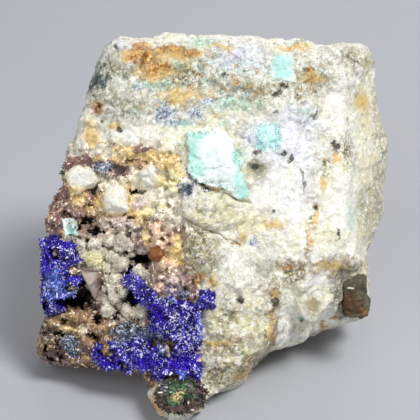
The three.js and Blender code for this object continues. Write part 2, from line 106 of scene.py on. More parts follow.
# Patches of colour on the front, each (across, up, half width, half height).
STAINS = {
    "rust": (
        (-6.2, 32.7, 1.2, 1.1), (-3.4, 33.2, 1.7, 0.4), (-1.7, 32.7, 0.8, 0.4), (-4.4, 31.6, 2, 0.55),
        (-10.3, 27.9, 0.55, 0.6), (8.8, 31.1, 0.3, 0.35), (-6.2, 33.7, 0.9, 0.3), (6.9, 13.4, 0.5, 0.22),
        (5.8, 11.4, 0.25, 0.4), (10.6, 8, 0.4, 0.45), (11.6, 8.6, 0.3, 0.25), (2.3, 30.3, 0.4, 0.3),
        (2.4, 15.7, 0.4, 0.12), (-1.2, 12.4, 0.4, 0.8), (-4.9, 1.5, 0.4, 0.9),
    ),
    "ochre": (
        (-4.6, 31.2, 2, 0.7), (-2.7, 29, 1.5, 0.75), (-7.6, 32.8, 0.8, 0.6), (-3.9, 32.6, 2.4, 0.5),
        (-3.2, 28.8, 0.9, 0.5), (-11, 25.3, 0.8, 1.4), (14, 28.7, 0.7, 0.8), (11.3, 23.5, 0.35, 0.5),
        (10.1, 20.9, 0.4, 0.6), (5.6, 17.4, 0.9, 0.45), (0.2, 20.8, 0.5, 0.35), (11, 13.7, 1.3, 0.45),
        (5.3, 8.4, 0.3, 1.2), (0.4, 6.7, 1.2, 0.16), (3.2, 3.4, 1.2, 0.5), (0.1, 12.2, 0.5, 0.8),
        (9.4, 10, 0.4, 0.6), (9.2, 30.6, 1.1, 0.4), (-8.7, 26.3, 0.6, 0.3), (2.7, 16.4, 0.4, 0.5),
        (9.4, 18, 0.2, 1), (8.9, 16, 0.2, 1), (0.9, 33.3, 1.2, 0.3), (7.3, 33.4, 1.6, 0.3),
        (-4.6, 2, 0.7, 1.5),
    ),
    "banded": (
        (7.4, 13.3, 1.5, 0.9), (5.8, 11.2, 0.5, 1.3), (5.3, 7.4, 0.5, 2.2), (9.2, 18.2, 0.25, 1.2),
        (8.8, 15.6, 0.3, 1.8), (1.6, 6.6, 1.8, 0.6), (3.2, 4.4, 1, 1), (-1.3, 15.2, 1.5, 2),
        (9.8, 13.7, 1.6, 0.5), (-0.4, 21, 1.7, 0.5), (12.4, 13.3, 1.2, 0.6), (13.4, 32.6, 1.8, 0.9),
        (-3.2, 31, 2.6, 1.1), (11.2, 24, 0.5, 0.9), (10.4, 22.4, 0.5, 1), (1.6, 9.2, 0.7, 1.2),
        (8.8, 30.6, 1.6, 1.2), (12.6, 23.8, 0.7, 1.4), (0.4, 3.8, 1.6, 1.2),
    ),
    "dark": (
        (6.4, 29.8, 0.45, 0.3), (6.1, 29.1, 0.35, 0.3), (5.9, 27.5, 0.3, 0.14), (9.5, 27.4, 0.28, 0.35),
        (11.3, 24.4, 0.3, 0.28), (6.3, 23.9, 0.3, 0.25), (4, 23.9, 0.26, 0.25), (5.7, 18.6, 0.22, 0.18),
        (9.3, 18.7, 0.2, 0.26), (-8.7, 33.4, 0.3, 0.28), (2.7, 10.7, 0.22, 0.22), (1.3, 30.6, 0.24, 0.2),
        (8.3, 21.9, 0.1, 0.6), (8.4, 20.9, 0.1, 0.5), (7.2, 23.2, 0.12, 0.4), (-9.8, 26.6, 0.14, 0.14),
        (-8.4, 25.9, 0.15, 0.3), (-0.9, 21.2, 0.3, 0.28), (1, 20.6, 0.45, 0.2), (-10.3, 28.1, 0.3, 0.25),
        (5.6, 10.6, 0.26, 0.4), (7.7, 12.4, 0.25, 0.2), (8.3, 8.4, 0.16, 0.2), (11.5, 16.6, 0.14, 0.45),
        (-2.9, 17.9, 0.4, 0.2), (4.1, 22.6, 0.2, 0.2),
    ),
    "teal": (
        (-10.3, 30.6, 1, 0.8), (-9.9, 31.9, 0.3, 0.3), (-9.1, 30.4, 0.25, 0.2), (4.1, 22.5, 0.3, 0.25),
        (-2.2, 20.6, 0.5, 0.4), (-10.9, 30.2, 0.9, 0.8),
    ),
    "blue": (
        (-4, 27.4, 0.95, 0.6), (-1.4, 27.5, 0.85, 0.5), (-6.3, 29.7, 0.5, 0.3), (3.6, 15.9, 0.4, 0.32),
        (-2.9, 26.5, 1.4, 0.35), (-2.3, 20.7, 0.6, 0.45), (-0.3, 28.4, 0.9, 0.3),
    ),
    "green": (
        (-1.1, 33.9, 1.3, 0.7), (1.9, 28.1, 2.2, 0.5), (-2.9, 31.7, 0.6, 0.5), (1.2, 26.3, 0.5, 0.3),
        (-13.9, 21.8, 0.4, 0.6), (-11.5, 7.5, 0.6, 0.3), (-9.8, 6.9, 0.4, 0.3), (12.9, 18, 0.5, 1),
        (2.9, 23.4, 0.4, 0.5), (8.6, 27.4, 0.3, 0.25), (-2.4, 26.4, 0.9, 0.3), (-5.2, 30, 1.2, 0.4),
    ),
    "emerald": ((8.4, 8.8, 0.3, 0.5), (3, 5.9, 0.3, 0.2)),
    "brown": (
        (0.7, 6.4, 0.9, 0.25), (2.2, 7.1, 1, 0.25), (3.3, 7.4, 0.5, 0.3), (5.6, 10.5, 0.35, 1),
        (5.9, 8.8, 0.25, 1.2), (5.6, 7, 0.3, 0.9), (5.3, 11.3, 0.45, 0.4), (3.7, 4.8, 0.45, 0.9),
        (3.2, 3.6, 0.7, 0.35), (4.2, 5.6, 0.3, 0.4), (7.2, 13.6, 1.3, 0.4), (10.6, 13.9, 1.4, 0.3),
        (12.2, 14.2, 0.8, 0.3), (8.8, 13.2, 0.6, 0.3), (8.55, 15.2, 0.12, 1.3), (9.3, 18.6, 0.15, 0.6),
        (-6.8, 33, 0.5, 0.5), (0.6, 20.9, 0.7, 0.2), (-10.4, 28, 0.7, 0.6), (10.6, 7.6, 0.3, 0.3),
    ),
    "smoky": (
        (12, 11.4, 0.9, 2.4), (11.9, 12.6, 0.9, 1.1), (13.4, 13.3, 1.5, 0.6), (2.4, 3.6, 1.4, 1),
        (-7.6, 27.9, 1.3, 1), (-10.3, 29.2, 0.9, 1.2), (9.1, 10.4, 0.7, 1), (-9, 31.4, 1.6, 0.9),
        (4.3, 22.4, 0.9, 0.9), (0.2, 14, 0.8, 1.2), (3.9, 29.6, 1.6, 0.6), (15.8, 20.5, 0.7, 3.2),
        (14.5, 18.6, 0.9, 2.4),
    ),
    "coarse": (
        (1.9, 8.5, 2.4, 3), (2, 4.4, 2.2, 2), (4.6, 10.8, 1.2, 1.6), (6.8, 7.4, 1.8, 1.4),
        (-1, 18.6, 1.6, 1), (-0.9, 14.8, 1.4, 1.6), (-9.2, 28, 2.6, 2.4), (12, 31, 2.2, 1.6),
        (-2.6, 30.4, 4, 1.4),
    ),
    "satin": (
        (14.6, 22, 2.6, 11), (7.2, 16.8, 4.6, 3), (11.8, 20.5, 2.2, 6.5), (-3.4, 25.4, 3.4, 0.9),
        (7, 23.4, 2, 3.4), (2.6, 8, 1, 1.6),
    ),
    "mixed": (
        (-2.6, 30.6, 4.6, 1.9), (1.6, 28.9, 4, 1.3), (-3, 28, 4.2, 1.4), (8.4, 30.6, 2, 1.6),
        (-6.6, 31.6, 2, 1.6), (3, 31.4, 2.4, 1),
    ),
    "milk": (
        (7.4, 9.6, 1.2, 1.4), (6.9, 6.7, 0.9, 0.6), (4.7, 19.8, 1.3, 1.4), (-1.4, 30.5, 0.8, 0.4),
        (6.6, 21.3, 2, 1.6), (12.4, 19.4, 1.2, 3), (11.6, 27.8, 1.4, 2.2), (10.9, 9, 1, 0.9),
        (-7.6, 25.6, 2, 0.7), (-5.5, 2.8, 0.6, 0.5), (9.6, 12.2, 1.3, 1),
    ),
    "lavender": (
        (6.9, 23.3, 2.6, 4.4), (7.6, 26.8, 2, 1.6), (3.9, 25.4, 0.9, 1.6), (2.6, 32.3, 2.4, 1.2),
        (-8.2, 33, 1.6, 1.4),
    ),
    "olive": (
        (14.6, 19.4, 1.4, 4.2), (14.2, 27.6, 0.8, 2.6), (2.6, 7, 2.6, 4.2), (0.1, 18.3, 3, 1.3),
        (-1.2, 14.6, 1.6, 2.2), (3.4, 17.6, 1.6, 1), (2.2, 4.2, 1.6, 1.6), (3.8, 22.2, 1, 1),
        (9.2, 10.3, 0.75, 1.1), (13.8, 12.6, 0.9, 0.7), (-0.2, 9, 1.4, 2.4),
    ),
    "grey": (
        (-7.1, 27.9, 1.3, 1.3), (3.2, 29.6, 2, 0.9), (12.4, 13.3, 0.8, 0.6), (14.9, 18.9, 1.1, 3.9),
        (-9.2, 32.6, 1.2, 1), (-8.2, 29.3, 2, 1), (4.6, 13.6, 1.2, 1.8),
    ),
}

# Colour of the ground between the gossan's lumps, each (across, up, half width, half height).
GROUNDS = {
    "tan": ((-8.5, 8, 6, 1.3), (-2.9, 13, 1.8, 2), (-13, 9, 1.6, 1)),
    "ash": ((-9, 13.3, 3.6, 3), (-8.6, 17, 2.4, 1.2), (-7.4, 9.8, 2.2, 1), (-12.6, 15.9, 1.2, 0.8)),
    "salmon": ((-4.7, 16.2, 1.3, 1.3), (-4.8, 11.4, 0.8, 0.6)),
    "butter": ((-3.5, 21.1, 1.3, 1.1), (-5.4, 18.4, 1.2, 0.6)),
    "gold": (
        (-5.8, 23.4, 2.8, 1.1), (-3.6, 22.4, 1.5, 1.8), (-10, 19.2, 1.4, 0.9), (-6.9, 18.4, 1.4, 0.8),
        (-12.4, 20, 1.4, 0.7), (-7.6, 20.9, 1, 0.8), (-8.7, 17.9, 1.4, 0.5), (-3.4, 14.7, 1.5, 0.9),
    ),
    "pale": (
        (-11.3, 24.2, 2.2, 0.6), (-8.9, 23.9, 0.9, 0.6), (-6.6, 22.3, 0.9, 0.5), (-4.6, 20.4, 2.6, 2.6),
        (-9.6, 21.2, 1.6, 1), (-4, 18.3, 2, 1.2), (-1.9, 16.4, 0.7, 1.7), (-1.2, 13.9, 0.6, 0.9),
        (-3.1, 24.6, 1.6, 0.6),
    ),
    "plum": ((-14.4, 18, 1.3, 3), (-13.4, 22, 0.7, 1.8), (-6, 24.2, 0.8, 0.3)),
    "lilac": ((-3.5, 12, 1.6, 1.2),),
    "dusk": (
        (-15.2, 5.6, 1.6, 2.2), (-12.2, 4.6, 2.6, 0.6), (-15.3, 8.6, 0.6, 0.9), (-11, 6.2, 1, 0.7),
        (-6.9, 7.3, 2.4, 0.9), (-1.3, 12.2, 0.4, 1),
    ),
}

# Lumps of the gossan, each (across, up, half width, half height, rise), by the kind of stone.
LUMPS = {
    "gold": (
        (-3.9, 23, 1.1, 0.7, 0.9), (-7.9, 24.1, 1, 0.45, 0.5), (-4.7, 22.9, 0.7, 0.4, 0.5),
        (-6.8, 18.3, 0.7, 0.4, 0.5), (-7.2, 19.7, 0.4, 0.7, 0.5), (-12.4, 19.5, 0.8, 0.6, 0.5),
        (-10.1, 23.4, 0.6, 0.25, 0.4), (-13, 20.9, 0.4, 0.8, 0.6), (-10.2, 19.3, 0.6, 0.5, 0.6),
        (-3.1, 15.6, 0.5, 1, 0.5), (-13.2, 7.8, 1, 0.35, 0.8), (-5.8, 16.3, 0.5, 0.6, 0.5),
        (-8.6, 23.3, 0.5, 0.4, 0.4), (-5.6, 23.5, 0.5, 0.4, 0.5), (-2.9, 21.9, 0.4, 0.7, 0.5),
        (-2.6, 14.4, 0.9, 0.5, 0.6),
    ),
    "plum": (
        (-6.1, 24.2, 0.9, 0.4, 0.6), (-9, 21.9, 0.8, 0.45, 0.8), (-13.5, 20, 0.5, 1.2, 0.6),
        (-13.3, 22.9, 0.6, 0.5, 0.6), (-14.4, 17.7, 0.9, 1.2, 0.8), (-12, 18.3, 0.8, 0.5, 0.9),
        (-11, 19.9, 0.4, 0.5, 0.6), (-12.9, 18.8, 0.6, 0.5, 0.6), (-9.3, 17, 0.5, 0.35, 0.7),
        (-6.5, 15.8, 0.5, 0.45, 0.8), (-7.7, 22, 0.5, 0.6, 0.5), (-2.2, 12.4, 0.6, 0.9, 0.7),
        (-14.7, 16.4, 0.6, 0.6, 0.5), (-12.6, 13.2, 0.5, 0.4, 0.8),
    ),
    "salmon": (
        (-4.6, 16.4, 1, 0.8, 0.9), (-4.3, 15.7, 0.8, 0.5, 0.7), (-4.8, 11.5, 0.6, 0.55, 0.8),
        (-5, 17.4, 0.7, 0.4, 0.5), (-4.5, 12.6, 0.4, 0.3, 0.6), (-4, 13.7, 0.8, 0.5, 0.8),
    ),
    "lilac": (
        (-8.5, 17.6, 1.6, 0.5, 0.8), (-9.7, 16.5, 0.7, 0.4, 0.7), (-6.4, 19.1, 0.75, 0.55, 0.8),
        (-7.1, 17.2, 0.8, 0.4, 0.6), (-3.3, 12.4, 0.8, 0.5, 0.8),
    ),
    "butter": (
        (-3.5, 20.9, 1, 0.8, 0.9), (-3.4, 21.9, 0.7, 0.4, 0.6), (-5.6, 18.5, 0.7, 0.4, 0.5),
        (-4.6, 19.3, 0.8, 0.4, 0.5),
    ),
    "ash": (
        (-6.7, 13.5, 0.6, 0.5, 0.8), (-6, 12.8, 0.6, 0.3, 0.6), (-9.1, 11.9, 1.3, 0.9, 1),
        (-8.9, 10.8, 0.9, 0.5, 0.8), (-9.4, 9.4, 0.7, 0.5, 1), (-6.9, 9.4, 1.2, 0.5, 1.1),
        (-12.4, 16.3, 0.7, 0.4, 0.6), (-10.3, 13.3, 1, 0.4, 0.8), (-3.6, 5.7, 0.6, 0.25, 0.9),
        (-13.9, 15.8, 0.5, 0.4, 0.7), (-5.6, 10.3, 0.5, 0.5, 0.5), (-8.3, 8.6, 1, 0.4, 0.8),
        (-14.4, 14.6, 0.35, 0.4, 1.2), (-12.7, 11.6, 0.6, 0.4, 1.2), (-4.1, 6.2, 0.5, 0.35, 1.3),
        (-11.9, 14.2, 0.5, 0.6, 0.9), (-10.9, 16, 0.5, 0.3, 0.7),
    ),
    "tan": (
        (-6.3, 22.8, 0.8, 0.5, 0.6), (-8, 23.1, 0.7, 0.4, 0.5), (-12.3, 9.2, 1.3, 0.55, 1.2),
        (-9.6, 8.1, 1.2, 0.4, 0.8), (-14.6, 8.2, 0.9, 0.5, 0.8), (-9.4, 5.9, 0.55, 0.45, 1.3),
        (-12.8, 12.9, 0.6, 0.4, 0.9), (-11.1, 6.6, 0.8, 0.6, 0.6), (-12, 5, 1.2, 0.4, 0.6),
        (-13.6, 9.7, 0.5, 0.5, 0.6), (-6.2, 17.5, 0.6, 0.3, 0.5), (-14.9, 10, 0.5, 0.6, 0.5),
    ),
    "pale": (
        (-4.5, 19.9, 1.2, 0.7, 0.7), (-5.4, 21.8, 1.1, 0.6, 0.6), (-9.7, 20.8, 0.5, 0.4, 0.5),
        (-10.5, 21.5, 0.4, 0.4, 0.5), (-4.1, 18.2, 1.1, 0.7, 0.7), (-7.9, 21.3, 0.4, 0.4, 0.5),
        (-6.7, 21.6, 0.5, 0.7, 0.5), (-3.6, 24.4, 1.2, 0.7, 0.5), (-11.7, 7.5, 0.4, 0.35, 0.7),
        (-1.9, 17, 0.5, 0.8, 0.4), (-1.6, 15.2, 0.5, 0.8, 0.3),
    ),
    "steel": (
        (-9.8, 22.6, 0.8, 0.5, 0.7), (-13, 6.4, 0.8, 0.8, 0.8), (-2.5, 11.2, 0.5, 0.4, 0.6),
        (-7.6, 7.4, 1, 0.5, 0.6), (-5.8, 7.6, 0.9, 0.5, 0.6), (-6.4, 6.8, 0.8, 0.4, 0.5),
    ),
    "dusk": (
        (-14.9, 6.6, 0.9, 0.9, 1), (-14.6, 5.2, 0.8, 0.7, 0.8), (-15.8, 5.4, 0.5, 0.8, 0.6),
        (-13.6, 4.6, 0.7, 0.4, 0.6), (-11.4, 4.4, 0.9, 0.3, 0.5), (-15.2, 7.9, 0.5, 0.5, 0.6),
        (-14.5, 6.9, 0.5, 0.3, 0.8), (-15.6, 6.7, 0.3, 0.4, 0.6), (-13.2, 5.4, 0.5, 0.3, 0.7),
    ),
}

# Pockets between the lumps, pushed in and painted black as shade, each (across, up, half width, half height,
# depth).
POCKETS = (
    (-10.2, 20.9, 0.35, 0.5, 1), (-11, 20.4, 0.4, 0.25, 0.8), (-11.35, 19.1, 0.3, 0.35, 1),
    (-7, 20.4, 0.4, 0.4, 0.9), (-6.2, 20.2, 0.3, 0.2, 0.6), (-11.4, 17.7, 0.6, 0.35, 1.2),
    (-10.5, 16.7, 0.7, 0.4, 1.2), (-12.1, 17.3, 0.4, 0.3, 0.8), (-13.3, 18.4, 0.3, 0.25, 0.8),
    (-7.4, 18, 0.6, 0.2, 0.6), (-6.3, 14.2, 1, 0.55, 1.8), (-7.3, 14.9, 0.6, 0.25, 1.2),
    (-7.3, 12.7, 0.5, 0.8, 1.6), (-8.6, 13, 0.5, 0.3, 1.2), (-7, 10.8, 0.9, 0.9, 2),
    (-11.8, 10.5, 1, 0.6, 1.7), (-12.8, 10.1, 1.4, 0.45, 1.6), (-10.4, 8.7, 0.4, 0.5, 1),
    (-8.5, 9.2, 0.25, 0.5, 0.9), (-5.2, 9.2, 0.3, 0.8, 1), (-11.7, 11.6, 0.5, 0.7, 1.2),
    (-1.6, 13, 0.2, 1, 0.8), (-10.6, 6.9, 0.5, 0.5, 0.9), (-13.5, 14.4, 0.3, 0.5, 0.8),
    (-15.4, 6, 0.3, 0.25, 0.8), (-14.2, 5.9, 0.25, 0.35, 0.8), (-14.9, 4.9, 0.35, 0.2, 0.7),
    (-13.8, 4.9, 0.25, 0.25, 0.6), (-15.4, 7.3, 0.3, 0.25, 0.7), (-13.9, 7.2, 0.5, 0.15, 0.6),
    (-13.4, 8.7, 0.5, 0.15, 0.9), (-14.3, 9.3, 0.6, 0.2, 0.9), (-9.3, 8.9, 0.7, 0.15, 0.8),
    (-12.1, 4.9, 0.4, 0.2, 0.5), (-2.4, 23, 0.2, 0.7, 0.6), (-6.9, 23.3, 0.6, 0.15, 0.35),
    (-11.7, 15.9, 0.8, 0.2, 0.7),
)

# Places where the blue crusts leave the stone bare, each (across, up, half width, half height).
GAPS = (
    (-14.4, 14.6, 0.35, 0.45), (-12.8, 11.5, 0.55, 0.4), (-3.8, 6.5, 0.5, 0.8), (-9.5, 5.9, 0.6, 0.45),
    (-12.1, 13.2, 0.9, 0.5), (-5.2, 6.9, 0.35, 0.7), (-15.6, 12.6, 0.3, 0.3), (-11.9, 15, 0.4, 0.6),
    (-15.4, 9.8, 0.4, 0.5), (-13.5, 10.2, 0.5, 0.3), (-6.9, 10.3, 0.5, 0.3), (-2.6, 10.9, 0.4, 0.3),
    (-0.6, 5.6, 0.35, 0.8), (-13.4, 16.2, 0.5, 0.25), (-7.8, 4.6, 0.5, 0.2), (-3.6, 3.8, 0.5, 0.2),
)

# Swellings of the quartz, each (across, up, half width, half height, rise).
SWELLINGS = (
    (0.1, 18.5, 3, 1.6, 0.7), (9.2, 10.8, 3, 2.4, 0.6), (-1.2, 15, 1.6, 2.4, 0.3), (7.2, 7.4, 2, 1.4, 0.4),
    (2, 9, 2.2, 5, 0.3), (4, 22.3, 0.8, 0.8, -0.5), (0.2, 20.8, 1, 0.5, -0.5), (13.9, 32, 1.1, 1.2, 0.35),
    (-3.9, 32.4, 2.6, 1.3, 0.2), (10, 29.5, 1.8, 1.2, -0.3), (13.2, 13.8, 1.6, 0.7, 0.3),
    (11.3, 11.2, 0.7, 2.2, 0.3), (12.6, 8.4, 1.2, 0.5, 0.4),
)

# Cracks in the quartz, each a line of (across, up), with its width and depth.
CRACKS = (
    (((-2.85, 18), (-1.9, 17.7), (-0.9, 17.4), (0.2, 16.7), (1.1, 16.3), (2.6, 15.7)), 0.09, 0.3),
    (((3.4, 19.5), (2.3, 19.5), (1, 20.3), (-0.6, 20.8)), 0.16, 0.3),
)

# The balls of the grey cluster, each (across, up, radius).
BALLS = (
    (-12, 15.4, 0.55), (-11.5, 14.6, 0.6), (-10.6, 15.5, 0.7), (-10.6, 14.3, 0.85), (-9.8, 14.8, 0.5),
    (-9.2, 15.9, 0.6), (-8.2, 15.7, 0.75), (-7.4, 15.5, 0.55), (-6.3, 15.1, 0.5), (-8.9, 14.4, 0.65),
    (-8.2, 13.8, 0.7), (-6.6, 13.3, 0.5), (-6.1, 12.9, 0.45), (-9.4, 13.5, 0.55), (-10.3, 13.6, 0.5),
    (-8.7, 12.4, 0.65), (-8.9, 11.6, 0.6), (-8, 11.3, 0.6), (-8.8, 10.7, 0.55), (-9.5, 10.4, 0.4),
    (-9.4, 9.5, 0.65), (-7.6, 9.6, 0.6), (-6.4, 9.5, 0.65), (-8.6, 13.2, 0.4), (-7.2, 14.7, 0.4),
)

# Colours of the plate and the films on the quartz, each (across, up, half width, half height).
FILM_SHADES = {
    "mint": (
        (-1.8, 23.8, 0.6, 1.9), (-1.2, 22.3, 0.8, 0.7), (2.8, 21.6, 0.6, 1.9), (2.9, 20.2, 0.7, 0.6),
        (-12.5, 16.7, 0.6, 0.8), (2.3, 23.7, 0.3, 1.2), (-1.2, 25.4, 0.9, 0.3),
    ),
    "line": (
        (-1.5, 22, 0.7, 0.9), (-0.7, 21.4, 0.6, 0.5), (0.6, 21.1, 0.8, 0.4), (2.1, 24.6, 0.3, 0.8),
        (2.4, 23.1, 0.3, 0.8), (-0.8, 25.6, 1.4, 0.25), (1.6, 20.5, 0.9, 0.4), (-12.8, 17.4, 0.35, 0.25),
        (-2.1, 24, 0.2, 1.2), (0.6, 22.4, 1.4, 0.1), (3.2, 20, 0.4, 0.8), (6.3, 25.4, 0.6, 1.3),
        (5.2, 26.4, 1.2, 0.3), (4.2, 25, 0.3, 0.9), (5.4, 24.4, 1.2, 0.35), (6.2, 31.9, 0.8, 0.2),
    ),
}

# The separate grains, each (CAD node, finish, (across, up), sizes, turn, depth in the stone, wear).
GRAINS = (
    ("cream_grain_upper", "cream_quartz", (-11.8, 21.5), (3.1, 2.7, 1.9), 0.3, 0.6, 0.2),
    ("cream_grain_lower", "cream_quartz", (-8.6, 19.5), (2.7, 3.1, 1.9), 0.2, 0.55, 0.2),
    ("cream_grain_inner", "cream_quartz", (-5.2, 21.8), (2.7, 2.0, 1.6), -0.3, 0.6, 0.35),
    ("white_quartz_lump", "white_quartz", (9.2, 10.7), (4.3, 4.5, 2.4), 0.1, 0.6, 0.6),
    ("rose_crystal", "rose_crystal", (-10.6, 12.3), (3.0, 3.4, 2.9), math.pi, 0.3, 0.2),
    ("limonite_lump", "limonite", (-4.9, 14.7), (1.5, 1.6, 1.5), 0.4, 0.35, 0.25),
    ("brown_block", "brown_block", (13.4, 10.7), (2.6, 4.5, 2.8), 0.06, 1.35, 0.28),
)

# Colours of the separate grains, each (across, up, half width, half height).
GRAIN_SHADES = {
    # Rims of colour round the grains; the row at (-10, 12.3) instead darkens one facet of the rose pyramid
    # as painted shade.
    "rim": (
        (-13.4, 21.2, 0.4, 1), (-12.3, 20.3, 1.3, 0.4), (-10.7, 14.1, 1.2, 0.7), (-10.2, 19.3, 0.5, 1),
        (-9.2, 18.1, 1.2, 0.4), (-4.3, 21.3, 0.7, 0.7), (-6.3, 22.6, 0.5, 0.4), (9.3, 10.1, 0.6, 0.75),
        (12.9, 9.9, 0.9, 1), (-10, 12.3, 0.45, 1),
    ),
    "rusty": ((-4.9, 14.5, 0.9, 0.8), (14.2, 9.3, 0.4, 0.3)),
    "glint": ((12.9, 11.3, 0.22, 0.1),),
    "haze": ((13.4, 12.6, 1.6, 0.9), (14.6, 11, 0.35, 1.5)),
}

# Places where small crystals have settled on the gossan, each (across, up, half width, half height).
STRAYS = {
    "blue": (
        (-3.4, 11.3, 0.7, 0.4), (-12.6, 12, 0.7, 0.3), (-5.2, 10.6, 0.7, 0.4), (-10.8, 5.6, 0.5, 0.6),
        (-14.3, 9.6, 0.5, 0.6), (-12.4, 14.4, 0.5, 0.7), (-5.4, 8.6, 0.4, 1.2), (-15.2, 15.6, 0.6, 0.4),
        (-11.9, 12.1, 0.3, 0.2), (-1.4, 10.7, 0.5, 0.3), (-12.5, 5, 0.7, 0.25),
    ),
    "steel": (
        (-13, 6.4, 0.9, 0.9), (-12.4, 5.7, 0.7, 0.5), (-6.9, 7.4, 2.4, 0.95), (-2.5, 11.2, 0.6, 0.5),
        (-5, 7.9, 0.6, 0.5), (-9, 7.1, 0.5, 0.3),
    ),
    "frost": ((-9.8, 22.7, 1.1, 0.6), (-2.4, 20.7, 0.6, 0.4), (-6.9, 8.2, 1.4, 0.3)),
    "white": (
        (-9.1, 11.8, 1.2, 1), (-8.6, 10.6, 0.8, 0.5), (-8.3, 17.3, 1.6, 0.5), (-13.4, 7.5, 0.9, 0.25),
        (-11.5, 7.5, 0.5, 0.3), (-5.9, 21.2, 0.6, 0.5), (-4.3, 18.6, 1, 0.8), (-7, 9.5, 1, 0.4),
        (-6, 12.5, 0.6, 0.3), (-13, 16, 0.6, 0.3), (-3, 13.6, 1, 0.6), (-10.4, 14.1, 0.9, 0.4),
    ),
    "green": (
        (-9.8, 6.8, 0.35, 0.3), (-10.3, 6.6, 0.2, 0.2), (-12.8, 17.4, 0.3, 0.2), (-13.8, 22.2, 0.3, 0.6),
    ),
    "petrol": (
        (-1.8, 21.6, 0.6, 0.5), (-1.1, 21, 0.7, 0.3), (-2.3, 20.6, 0.6, 0.5), (0.3, 20.7, 0.5, 0.25),
        (-2, 22.4, 0.3, 0.5), (4.1, 22.7, 0.4, 0.4), (-0.4, 20.4, 0.4, 0.2),
    ),
}

# Lighter and greyer patches of the blue crusts, each (across, up, half width, half height).
SHADES = {
    "steel": (
        (-4.1, 3, 0.4, 0.35), (-6.9, 7.6, 2, 0.6), (-8.3, 7, 0.9, 0.5), (-4.9, 7.3, 0.5, 0.6),
        (-4.2, 6.3, 0.6, 0.5), (-12.7, 11.4, 0.5, 0.5), (-3.9, 10.6, 0.6, 0.3),
    ),
    "glitter": (
        (-2.8, 8.2, 1.1, 1.2), (-13.4, 14.6, 0.9, 0.6), (-1.4, 6.4, 0.6, 1.4), (-6.4, 6.2, 0.8, 0.4),
        (-2.2, 9.8, 0.6, 0.5), (-3.4, 6.9, 0.5, 0.4),
    ),
    "violet": (
        (-5.8, 4.9, 1.2, 0.5), (-15.1, 13.8, 0.5, 1.3), (-2.6, 5, 1.4, 0.7), (-9.3, 4.9, 1, 0.4),
        (-4.7, 9.4, 0.6, 1), (-13, 15.4, 0.9, 0.4),
    ),
    "moss": ((-3.2, 2.7, 1.1, 0.7), (-2.2, 3.1, 0.7, 0.4), (-3.4, 1.9, 0.6, 0.4), (-1.6, 2.2, 0.4, 0.3)),
    "gilt": ((-3, 2.2, 0.5, 0.4), (-2.5, 2.7, 0.4, 0.2), (-1, 0.8, 0.5, 0.3)),
    "sky": (
        (-13.9, 11.3, 0.9, 0.8), (-14.2, 12.6, 0.6, 0.7), (-2.8, 4, 0.5, 0.3), (-1, 8, 0.4, 1),
        (-14.6, 11.8, 0.9, 1.1),
    ),
}

# The chips that break the face of the quartz, each (height, size, seed).
ROCK_CHIPS = ((0.3, 3.4, 1.7), (0.35, 1.4, 4.2), (0.3, 0.6, 9.1), (0.25, 0.33, 5.3))

# The crystals on the blue crusts, each (how many on a square millimetre, smallest, largest, lean, seed).
BLADES = (
    (40, (0.07, 0.07, 0.1), (0.15, 0.13, 0.34), 1.1, 31),
    (1.5, (0.14, 0.12, 0.25), (0.28, 0.24, 0.6), 1, 81),
)

# The loose crystals, each (deep and bright colour, the pale colour painted on some as glints, how many on a
# square millimetre, longest).
STRAY_KINDS = {
    "blue": ("linarite_deep", "linarite_bright", "linarite_pale", 14, 0.4),
    "steel": ("knob_dark", "steel", "lavender", 52, 0.34),
    "frost": ("denim", "milk", "milk", 36, 0.34),
    "white": ("ash", "pale", "milk", 8, 0.34),
    "green": ("petrol", "emerald", "turquoise", 18, 0.4),
    "petrol": ("soot", "petrol", "denim", 30, 0.26),
}

# Spacing of the mesh on the smaller pieces, in millimetres.
CRUST_STEP = 0.14
KNOB_STEP = 0.12
STONE_STEP = 0.09
FILM_STEP = 0.08

